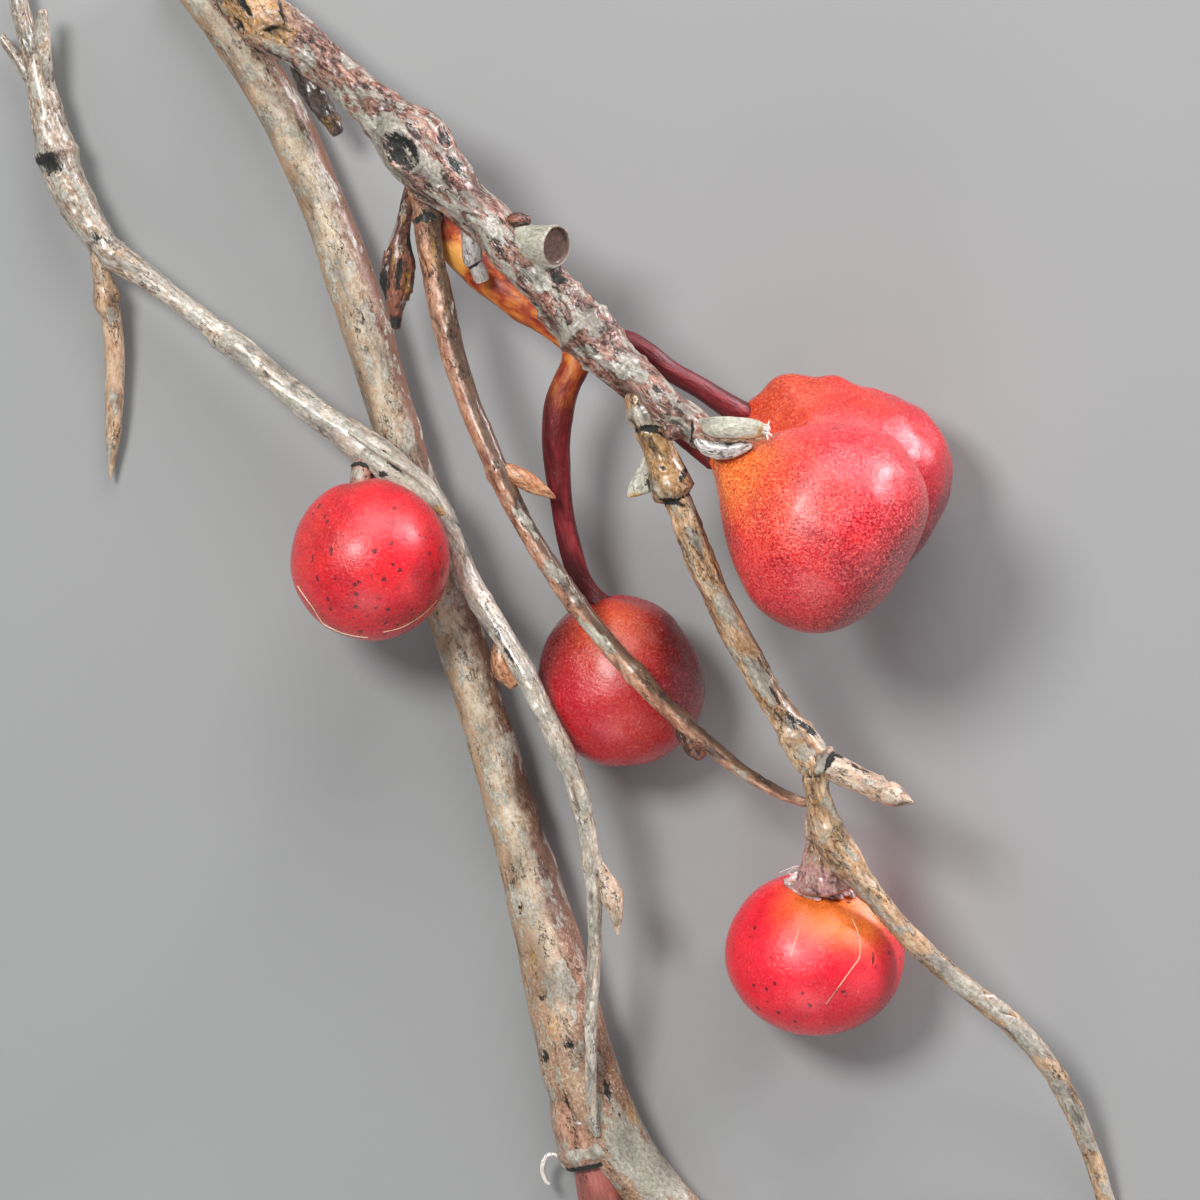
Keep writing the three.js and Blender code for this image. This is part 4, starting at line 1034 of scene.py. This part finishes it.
SPECKLED_SKIN = hip_finish("speckled_skin", RED, ORANGE, MAROON, 0.75, 0.18)
LOWER_SKIN = hip_finish("lower_skin", ROSE, srgb(252, 126, 48), srgb(222, 12, 42), 0.3, 0.12)
FRONT_SKIN = hip_finish("front_skin", srgb(220, 8, 34), srgb(236, 84, 28), srgb(152, 0, 30), 0.03, 0.8)
BACK_SKIN = hip_finish("back_skin", srgb(192, 8, 32), srgb(214, 72, 26), MAROON, 0.0, 0.25)
print("hip skins:", [m.name for m in bpy.data.materials if m.name.endswith("_skin")])

# %% [markdown]
# ## The shape of a hip
# A hip starts as a ball and is shaped in three passes, as a potter would: the outline is
# turned, so that its far half is a bowl and its near half draws in to the neck. Slow noise
# gives it lumps, and five low ribs run to the neck. Last come its soft flats, where it was
# pressed, and its bumps. Then every point gets its painted shade, its blush and its share of
# specks.

# %% Outline and surface of a hip
RIB_HEIGHT = 0.16
RIBS = 5
FLAT_BLEND = 1.1  # millimetres over which a flat runs into the round


def turned(latitude, shape):
    """Radius and height of the outline. latitude is an angle, below 0 on the far half."""
    if latitude < 0:
        out = math.cos(latitude) ** shape["squareness"]
        down = math.sin(-latitude) ** shape["squareness"]
        return shape["radius"] * out, -shape["far"] * down
    narrow = shape["neck"] + (shape["radius"] - shape["neck"]) * math.cos(latitude) ** shape["shoulder"]
    return narrow, shape["near"] * math.sin(latitude)


def lumpy(local, around, near_neck, shape):
    """The turned point with its lumps and its ribs."""
    at = Vector(shape["at"])
    local = local + local.normalized() * shape["lump"] * noise.fractal(local * 0.14 + at, 1.0, 2.0, 3)
    ribs = RIB_HEIGHT * near_neck ** 3 * math.sin(RIBS * around + 2 * noise.noise(at))
    return local + local.normalized() * ribs


def closeness(point, normal, width):
    """1 where the point lies towards normal, and less away from it; width is how slowly it fades."""
    near = point.normalized().dot(Vector(normal).normalized())
    return math.exp((near - 1) / width)


def pressed_and_bumped(point, shape):
    for normal, depth, softness in shape["flats"]:
        facing = Vector(normal).normalized()
        over = point.dot(facing) - depth
        point = point - facing * softness * 0.5 * (over + math.hypot(over, FLAT_BLEND))
    for normal, tall, width in shape["bumps"]:
        point = point + point.normalized() * tall * closeness(point, normal, width)
    return point


def glow(point, patches):
    """How strongly the patches (normal, strength, width) reach the point."""
    return sum(strength * closeness(point, normal, width) for normal, strength, width in patches)


# %% Shaping a hip
POLE = 0.99999  # the ball's own height above which a point is one of its two poles


def make_hip(name, node, finish, shape):
    turn = Vector((0, 0, 1)).rotation_difference(Vector(shape["stalk_side"]).normalized())
    start_fresh()
    bpy.ops.mesh.primitive_uv_sphere_add(segments=160, ring_count=110, radius=1)
    piece = bpy.context.object
    skins = []
    for vertex in piece.data.vertices:
        latitude = math.asin(max(-1.0, min(1.0, vertex.co.z)))
        around = math.atan2(vertex.co.y, vertex.co.x)
        radius, height = turned(latitude, shape)
        if abs(vertex.co.z) > POLE:
            radius = 0.0
        local = Vector((radius * math.cos(around), radius * math.sin(around), height))
        point = turn @ lumpy(local, around, max(0.0, vertex.co.z), shape)
        point.z *= shape["pressed"]
        point = pressed_and_bumped(point, shape)
        vertex.co = place(Vector(shape["at"]) + point)
        speck_share = 1.25 * (0.5 - 0.5 * point.y / shape["radius"])  # more of them lower down
        skins.append(Vector((glow(point, shape["shaded"]), glow(point, shape["blush"]),
                             max(0.05, min(1.0, speck_share)))))
    set_vectors(piece.data, "skin", skins)
    return finish_piece(piece, name, finish, node)


# %% [markdown]
# The three hips of the cluster are drawn out to their stalks, and two of them lie on each
# other and are pressed flatter. The other two are nearly round. Flats are (normal, how far out
# the flat lies, strength). Bumps, blush and painted shade are (normal, height or strength,
# width).

# %% Five hips
HIP_LEFT = make_hip("hip_left_skin", "hip_left", SPECKLED_SKIN, {
    "at": (-23.0, 3.9, 14.3), "stalk_side": (-0.1, 0.88, -0.38), "radius": 8.0, "far": 8.0, "near": 7.9,
    "neck": 0.9, "shoulder": 1.0, "squareness": 1.0, "pressed": 1.0, "lump": 0.12, "flats": [],
    "bumps": [], "blush": [((-0.6, 0.3, 0.7), 0.25, 0.3)], "shaded": [],
})
make_hip("hip_centre_skin", "hip_centre", BACK_SKIN, {
    "at": (2.1, -8.8, 8.3), "stalk_side": (-0.27, 0.96, 0.02), "radius": 8.3, "far": 8.0, "near": 8.9,
    "neck": 1.5, "shoulder": 1.12, "squareness": 0.98, "pressed": 1.0, "lump": 0.3, "flats": [],
    "bumps": [], "blush": [((-0.1, 0.7, 0.7), 0.7, 0.25), ((0.3, -0.5, 0.8), 0.25, 0.2)],
    "shaded": [((0.95, 0.2, 0.2), 1.8, 0.32), ((-0.85, 0.5, 0.1), 1.3, 0.18)],
})
make_hip("hip_front_skin", "hip_front", FRONT_SKIN, {
    "at": (22.45, 7.5, 25.8), "stalk_side": (-0.8, 0.53, -0.26), "radius": 10.7, "far": 9.4, "near": 13.4,
    "neck": 1.2, "shoulder": 2.8, "squareness": 0.86, "pressed": 0.86, "lump": 0.3,
    "flats": [((0.86, -0.5, 0.1), 8.8, 0.75)],
    "bumps": [], "blush": [((-0.8, 0.53, 0.1), 1.1, 0.12), ((-0.5, 0.2, 0.8), 0.35, 0.3)],
    "shaded": [((0.9, -0.5, 0.05), 1.7, 0.26), ((0.3, -1.0, 0.0), 0.7, 0.14)],
})
make_hip("hip_back_skin", "hip_back", BACK_SKIN, {
    "at": (25.3, 10.9, 8.9), "stalk_side": (-0.82, 0.56, 0.08), "radius": 10.5, "far": 9.3, "near": 13.2,
    "neck": 1.5, "shoulder": 1.5, "squareness": 0.85, "pressed": 0.84, "lump": 0.5,
    "flats": [((0.83, -0.56, 0.0), 9.3, 0.65)],
    "bumps": [((-0.52, 0.84, 0.12), 1.9, 0.025), ((-0.15, 0.98, 0.2), 0.9, 0.012)],
    "blush": [((-0.6, 0.75, 0.3), 0.6, 0.2), ((0.3, 0.9, 0.4), 0.3, 0.1)],
    "shaded": [((0.9, -0.5, 0.0), 1.8, 0.2), ((-0.4, 0.9, 0.1), 0.35, 0.2)],
})
HIP_LOWER = make_hip("hip_lower_skin", "hip_lower", LOWER_SKIN, {
    "at": (21.6, -35.5, 8.55), "stalk_side": (0.05, 0.79, 0.61), "radius": 9.0, "far": 7.8, "near": 7.6,
    "neck": 1.2, "shoulder": 1.0, "squareness": 1.0, "pressed": 1.0, "lump": 0.12, "flats": [],
    "bumps": [], "blush": [((0.5, 0.6, 0.6), 1.1, 0.12), ((0.05, 0.7, 0.7), 0.7, 0.2)],
    "shaded": [((0.8, -0.6, 0.0), 0.6, 0.25)],
})

# %% [markdown]
# ## The stalks
# The cluster's stalk grew as one: a swollen orange foot, yellow at its upper end, a fork, and
# three dark red arms. The foot and the arms are rolled as separate twigs and joined into one
# piece. The spots' ochre share turns the red skin orange, and their pale share yellow.

# %% The stalk finish
def stalk_finish():
    material, tree, shader = new_finish("stalk_skin")
    grain = attribute(tree, "grain")
    _, orange_mark, yellow_mark = parts_of(tree, attribute(tree, "marks"))
    streaks = stretched_noise(tree, grain, (1.4, 1.4, 0.25), 5, 0.6)
    fine = stretched_noise(tree, grain, (6, 6, 2.5), 3, 0.6, 4)
    reds = [(0.35, srgb(66, 10, 14)), (0.55, srgb(106, 20, 26)), (0.7, srgb(142, 40, 42))]
    skin = ramp(tree, streaks, reds)
    patches = stretched_noise(tree, grain, (0.9, 0.9, 0.45), 5, 0.65, 8)
    oranges = [(0.34, srgb(110, 30, 20)), (0.48, srgb(168, 66, 28)), (0.64, srgb(214, 130, 50))]
    warm = ramp(tree, patches, oranges)
    colour = mix(tree, threshold(tree, orange_mark, 0.1, 0.8), skin, warm)
    colour = cover(tree, threshold(tree, yellow_mark, 0.2, 0.9), 0.8, colour, srgb(234, 170, 78))
    tree.links.new(colour, shader.inputs["Base Color"])
    dull = weighted(tree, [(fine, 0.5), (streaks, 0.2)], 0.1)
    tree.links.new(dull, shader.inputs["Roughness"])
    shader.inputs["Specular IOR Level"].default_value = 0.4
    shader.inputs["Coat Weight"].default_value = 0.15
    shader.inputs["Coat Roughness"].default_value = 0.3
    bump(tree, shader, [(streaks, 1.0), (patches, 1.5), (fine, 0.5)], 0.00014)
    return material


STALK_SKIN = stalk_finish()

# %% Cluster stalk
ORANGE_FOOT = [
    spot(-12.0, 33.2, 5.0, 5.0, 0, ochre=1.2),
    spot(-5.0, 28.2, 4.6, 3.4, -40, ochre=0.9),
    spot(-1.6, 24.4, 3.0, 2.6, 0, ochre=0.5),
    spot(-3.8, 21.0, 2.0, 3.6, 0, ochre=0.45),
    spot(-14.6, 34.2, 1.7, 1.9, 0, ochre=0.4, pale=1.3),
]
ARMS = [
    ("foot", [
        (-15.2, 41.0, 13.4, 1.2), (-15.6, 38.6, 11.9, 1.3), (-15.2, 36.4, 11.0, 1.45),
        (-14.0, 34.8, 10.8, 1.7), (-12.4, 33.6, 10.8, 1.95), (-10.8, 32.2, 11.0, 1.85),
        (-9.0, 31.0, 11.3, 2.1), (-7.4, 29.8, 11.6, 2.05), (-5.6, 28.4, 11.9, 1.7),
        (-3.6, 26.8, 12.1, 1.6), (-1.6, 25.2, 12.4, 1.5)]),
    ("centre", [
        (-2.6, 26.0, 12.1, 1.3), (-2.4, 23.8, 12.0, 1.5), (-3.4, 21.6, 11.8, 1.5),
        (-4.1, 19.5, 11.5, 1.55), (-4.4, 16.4, 11.1, 1.45), (-4.3, 13.5, 10.6, 1.3),
        (-3.9, 10.0, 10.1, 1.15), (-3.3, 6.5, 9.5, 1.15), (-2.3, 3.0, 9.0, 1.12),
        (-1.2, 0.8, 8.7, 1.15), (-0.3, -0.6, 8.5, 1.6)]),
    ("front", [
        (-2.6, 25.9, 12.4, 1.2), (1.2, 22.8, 14.6, 1.3), (5.0, 19.5, 17.5, 1.2), (8.5, 16.5, 20.0, 1.2),
        (11.4, 14.1, 21.9, 1.25)]),
    ("back", [
        (-3.4, 26.6, 12.1, 1.1), (2.0, 26.0, 12.6, 1.2), (4.5, 24.9, 12.7, 1.1), (7.0, 23.0, 12.4, 1.1),
        (10.0, 21.3, 11.7, 1.08), (12.5, 19.7, 11.0, 1.2), (15.2, 18.0, 10.0, 1.4)]),
]
arms = [
    roll_twig("stalk_" + part, "cluster_stalk", stations, STALK_SKIN, sides=36, spacing=0.3,
              rough=0.05, lump=0.3 if part == "foot" else 0.1, spots=ORANGE_FOOT)
    for part, stations in ARMS
]
choose(*arms)
bpy.ops.object.join()
finish_piece(arms[0], "cluster_stalk_skin", STALK_SKIN, "cluster_stalk")

# %% Two short stalks
roll_twig("left_stalk_skin", "left_stalk", [
    (-23.4, 14.2, 9.3, 1.15), (-23.8, 12.8, 9.8, 1.1), (-24.0, 11.6, 10.3, 1.15),
    (-24.0, 10.6, 10.9, 1.3),
], STALK_BARK, sides=36, spacing=0.12, rough=0.1, lump=0.1, rings=[(-23.8, 13.2, 0.3, 0.2, 1.2)],
    spots=[
        spot(-24.4, 12.7, 0.5, 0.4, 0, lift=0.2, dark=-1.0, pale=1.8),
    ])
roll_twig("lower_stalk_skin", "lower_stalk", [
    (21.9, -20.4, 16.6, 1.3), (22.3, -22.6, 16.1, 1.7), (22.6, -24.6, 15.6, 1.95),
    (22.5, -26.0, 15.0, 2.2), (22.5, -27.2, 14.4, 2.75), (22.6, -28.2, 13.9, 3.25),
], CUFF_BARK, sides=72, spacing=0.13, rough=0.26, lump=0.4, flatten=0.8,
    end=CUFF_END,
    spots=[
        spot(22.6, -28.2, 4.0, 1.7, 0, ochre=1.3),
        spot(20.3, -26.6, 0.9, 1.8, 0, ochre=1.2),
    ])

# %% [markdown]
# ## Bracts and loose bits
# Small things make bark look found rather than made. A bract is a scale leaf: a twig with a
# low section. The pale one at the knotty twig's tip is frayed into fine fibres, with a lining
# and a silvery prong under it. Another lies over the side shoot's node by the left hip. Fine
# straw threads lie on two hips. Each is dropped straight down on the skin, point by point, so
# that it follows the hip. A frill of pale pink crumbs and fibres rings the lower hip's neck,
# and one curled white fibre hangs at the sawn stub.

# %% Bracts
roll_twig("tip_bract", "knotty_twig", [
    (9.8, 17.4, 26.3, 0.7), (11.4, 17.2, 27.3, 1.0), (13.4, 17.1, 28.0, 1.05), (15.2, 17.0, 28.3, 0.95),
    (16.6, 16.9, 28.4, 0.5),
], BRACT_BARK, sides=36, spacing=0.14, rough=0.04, lump=0.16, cracked=0.2, flatten=0.5, replaced=False,
    spots=[
        spot(16.6, 16.6, 1.0, 0.8, 0, ochre=1.5),
        spot(14.6, 16.0, 2.4, 0.3, 5, dark=0.3, ochre=1.3),
    ])
roll_twig("tip_bract_lining", "knotty_twig", [
    (12.0, 15.9, 27.3, 0.3), (13.8, 16.1, 27.8, 0.45), (15.4, 16.2, 28.0, 0.5),
    (16.6, 16.4, 28.1, 0.35),
], THORN_BARK, sides=24, spacing=0.14, rough=0.12, lump=0.1, flatten=0.6, replaced=False)
roll_twig("tip_prong", "knotty_twig", [
    (9.4, 16.6, 26.2, 0.5), (10.9, 15.4, 26.6, 1.05), (12.4, 15.0, 27.0, 1.0), (13.8, 15.1, 27.5, 0.7),
    (15.0, 15.3, 27.8, 0.25),
], SILVER_BARK, sides=40, spacing=0.14, rough=0.2, lump=0.22, flatten=0.6, replaced=False,
    spots=[
        spot(13.6, 15.75, 1.5, 0.3, 8, lift=-0.2, dark=1.4),
    ])
roll_twig("node_bract", "side_shoot", [
    (-23.6, 14.8, 10.4, 0.8), (-21.4, 13.0, 10.9, 1.15), (-19.2, 11.3, 11.0, 1.2),
    (-17.2, 9.8, 10.8, 0.95), (-15.7, 8.6, 10.5, 0.2),
], BRACT_BARK, sides=36, spacing=0.16, rough=0.1, lump=0.12, flatten=0.5, replaced=False,
    spots=[
        spot(-16.2, 9.0, 0.8, 0.5, -40, ochre=1.4),
        spot(-21.8, 12.6, 0.6, 0.4, 0, dark=1.3),
        spot(-20.6, 13.3, 1.6, 0.25, -38, lift=0.1, dark=1.0),
    ])
roll_twig("node_ridge", "side_shoot", [
    (-25.2, 16.9, 10.4, 0.2), (-22.8, 15.2, 11.1, 0.3), (-20.4, 13.7, 11.4, 0.3),
    (-18.2, 12.1, 11.3, 0.28), (-16.4, 10.0, 10.8, 0.15),
], BRACT_BARK, sides=20, spacing=0.16, rough=0.06, lump=0.06, replaced=False)

# %% Fibre finishes
FIBRE = bark("fibre_bark", srgb(250, 232, 200), srgb(240, 212, 170), srgb(214, 170, 120), lichen=0.0,
             silver_and_glint=0.6, fleck=0.0, relief=0.00002)
WHITE_FIBRE = bark("white_fibre_bark", srgb(250, 246, 240), srgb(236, 226, 216), srgb(214, 196, 180),
                   lichen=0.0, silver_and_glint=0.7, fleck=0.0, relief=0.00002)
GLUE = bark("glue_bark", srgb(250, 236, 230), srgb(238, 204, 200), srgb(206, 150, 148), lichen=0.0,
            silver_and_glint=0.6, fleck=0.0, relief=0.00006, dull=0.2, shine=1.0)

# %% Threads on the hips
HIGH_ABOVE = 60
BESIDE_HIP = 12.0  # the height of a point that misses the hip


def drop(hip, x, y, lift=0.03):
    """The sketch point on the hip's skin under (x, y), a little above it."""
    hit, touched, _, _ = hip.ray_cast(place((x, y, HIGH_ABOVE)), (0, 0, -1))
    z = touched.z / MM - SKETCH_ORIGIN.z if hit else BESIDE_HIP
    return x, y, z + lift


def thread(name, hip, node, thickness, points):
    stations = [drop(hip, x, y) + (thickness,) for x, y in points]
    return roll_twig(name, node, stations, FIBRE, sides=8, spacing=0.12, rough=0.01, lump=0.01,
                     cracked=0.0, replaced=False)


thread("left_thread_1", HIP_LEFT, "hip_left", 0.075, [
    (-30.2, 1.4), (-29.4, 0.2), (-28.6, -0.9), (-28.0, -1.9), (-27.6, -2.4), (-26.6, -2.95),
    (-25.4, -3.4), (-24.2, -3.65), (-23.2, -3.75)])
thread("left_thread_2", HIP_LEFT, "hip_left", 0.05, [
    (-16.3, 0.0), (-17.4, -1.2), (-18.8, -2.2), (-20.0, -2.8), (-21.6, -3.2)])
thread("lower_thread_1", HIP_LOWER, "hip_lower", 0.042, [
    (19.9, -32.9), (19.6, -33.8), (19.3, -34.8), (19.1, -35.6)])
thread("lower_thread_2", HIP_LOWER, "hip_lower", 0.048, [
    (25.2, -31.9), (25.8, -33.2), (26.0, -34.6), (25.9, -35.8), (25.2, -36.8), (24.2, -38.2),
    (23.2, -39.6), (22.6, -40.4)])
roll_twig("curled_fibre", "cut_stub", [
    (-3.6, -57.2, 3.6, 0.1), (-4.4, -56.0, 3.4, 0.14), (-5.4, -56.1, 3.3, 0.22),
    (-5.8, -57.3, 3.2, 0.26), (-5.5, -58.5, 3.2, 0.22), (-5.1, -58.9, 3.3, 0.14),
], WHITE_FIBRE, sides=14, spacing=0.12, rough=0.04, lump=0.06, replaced=False)

# %% [markdown]
# The finest bits are scattered with random numbers from a fixed seed, so that they come out
# the same each time. Fifteen fibres fray the bract's tip, and sixty crumbs and eight fibres
# make the frill.

# %% Frayed tip and frill
noise.seed_set(7)
TIP_FIBRES = 15
CRUMBS = 60


def scatter(count, make_stations, name, node, finish):
    """count small twigs, joined into one piece."""
    bits = [
        roll_twig(f"{name}_{i}", node, make_stations(i), finish, sides=8, spacing=0.1, rough=0.06,
                  lump=0.12, replaced=False)
        for i in range(count)
    ]
    choose(*bits)
    bpy.ops.object.join()
    finish_piece(bits[0], name, node=node, material=finish, replaced=False)


def tip_fibre(i):
    half = (TIP_FIBRES - 1) / 2
    spread = (i - half) / half
    reach = 0.3 + 0.7 * noise.random()
    side = 0.9 * (noise.random() - 0.5) + 0.3 * spread
    start = (16.0 + 0.5 * noise.random(), 16.85 + 0.45 * spread, 28.5)
    middle = (start[0] + 0.5 * reach, start[1] + 0.2 * side, 28.7 + 0.3 * noise.random())
    end = (start[0] + reach * (0.5 + 0.5 * noise.random()), start[1] + side, 28.4 + 0.6 * noise.random())
    return [start + (0.13,), middle + (0.1,), end + (0.04,)]


def frill_crumb(i):
    """A crumb on the arc of 210 degrees that the frill takes round the front of the neck."""
    angle = math.radians(165 + 210 * i / (CRUMBS - 1))
    x = 22.2 + 3.7 * math.cos(angle) + 0.5 * noise.random()
    y = -28.5 + 1.25 * math.sin(angle) + 0.6 * noise.random()
    size = 0.16 + 0.3 * noise.random() ** 2
    long = 0.3 + 0.6 * noise.random()
    first = drop(HIP_LOWER, x, y, 0.3)
    last = drop(HIP_LOWER, x + long, y - 0.4 * noise.random(), 0.4)
    middle = tuple((a + b) / 2 for a, b in zip(first, last))
    return [first + (0.7 * size,), middle + (size,), last + (0.5 * size,)]


# Each is (turn in degrees, bend in radians, length, thickness).
FRILL_FIBRES = [
    (100, 1.2, 2.2, 0.1), (205, -0.7, 1.2, 0.16), (160, 0.6, 1.6, 0.08), (190, -0.4, 0.8, 0.34),
    (235, 0.5, 0.7, 0.3), (175, 0.3, 1.0, 0.4), (215, -0.3, 1.1, 0.14), (150, 0.9, 0.9, 0.22),
]


def frill_fibre(i):
    degrees, bend, long, thick = FRILL_FIBRES[i]
    turn = math.radians(degrees)
    start = (19.8 + 0.5 * noise.random(), -27.0 - 0.9 * noise.random(), 13.9 + 0.3 * noise.random())
    half = 0.5 * long
    middle = (start[0] + half * math.cos(turn), start[1] + half * math.sin(turn), start[2] + 0.3)
    last = turn + bend
    end = (start[0] + long * math.cos(last), start[1] + long * math.sin(last), start[2] + 0.2)
    return [start + (thick,), middle + (thick,), end + (0.4 * thick,)]


scatter(TIP_FIBRES, tip_fibre, "tip_fibres", "knotty_twig", WHITE_FIBRE)
scatter(CRUMBS, frill_crumb, "frill_crumbs", "lower_stalk", GLUE)
scatter(len(FRILL_FIBRES), frill_fibre, "frill_fibres", "lower_stalk", GLUE)

# %% [markdown]
# ## Floor, light and camera
# The sprig lies on a plain pale floor. The key lamp hangs nearly overhead, a little to the
# upper left, and a low one at the upper right rims the hips. Three weaker ones, at the top,
# the right and the bottom, soften the shadows. The camera looks straight down from far away,
# so the view is nearly without perspective.

# %% Floor
start_fresh()
bpy.ops.mesh.primitive_plane_add(size=6, location=(0, 0, 0))
floor = bpy.context.object
floor.name = "floor"
floor_finish, _, floor_shader = new_finish("floor_paint")
floor_shader.inputs["Base Color"].default_value = srgb(149, 150, 149)
floor_shader.inputs["Roughness"].default_value = 0.9
floor_shader.inputs["Specular IOR Level"].default_value = 0.1
floor.data.materials.append(floor_finish)


# %% Lights
def soft_lamp(name, direction, distance, size, watts, colour=(1, 1, 1)):
    """A round lamp that faces the sprig from so many metres away."""
    bpy.ops.object.light_add(type="AREA")
    lamp = bpy.context.object
    lamp.name = name
    towards = Vector(direction).normalized()
    lamp.location = towards * distance
    lamp.rotation_euler = towards.to_track_quat("Z", "Y").to_euler()
    lamp.data.shape = "DISK"
    lamp.data.size = size
    lamp.data.energy = watts
    lamp.data.color = colour
    print(f"{name}: {watts} W, {size} m wide")


soft_lamp("key_lamp", (-0.38, 0.29, 0.88), 0.9, 0.25, 6.7)
soft_lamp("rim_lamp", (0.80, 0.62, 0.18), 0.7, 0.2, 5.0, (1.0, 0.92, 1.0))
soft_lamp("fill_lamp", (0.1, 0.88, 0.58), 0.58, 0.4, 1.8)
soft_lamp("side_lamp", (0.85, -0.55, 0.35), 0.8, 0.4, 0.6)
soft_lamp("low_lamp", (-0.1, -0.85, 0.5), 0.8, 0.5, 1.3)
world = bpy.data.worlds.new("room")
world.use_nodes = True
room_light = world.node_tree.nodes["Background"]
room_light.inputs["Color"].default_value = (0.82, 0.84, 0.88, 1)
room_light.inputs["Strength"].default_value = 0.27
bpy.context.scene.world = world
bpy.context.scene.view_settings.view_transform = "Standard"

# %% Camera
FRAME_WIDTH = 120 * MM  # what the view spans at the height below
MIDDLE_HEIGHT = 16 * MM
CAMERA_HEIGHT = 1.5
SENSOR = 36
above = place((0, 0, 0)) + Vector((0, 0, CAMERA_HEIGHT))
bpy.ops.object.camera_add(location=above, rotation=(0, 0, 0))
camera = bpy.context.object
camera.data.sensor_width = SENSOR
camera.data.lens = SENSOR * (CAMERA_HEIGHT - MIDDLE_HEIGHT) / FRAME_WIDTH
camera.data.clip_end = 10
bpy.context.scene.camera = camera
print("lens, mm:", round(camera.data.lens))
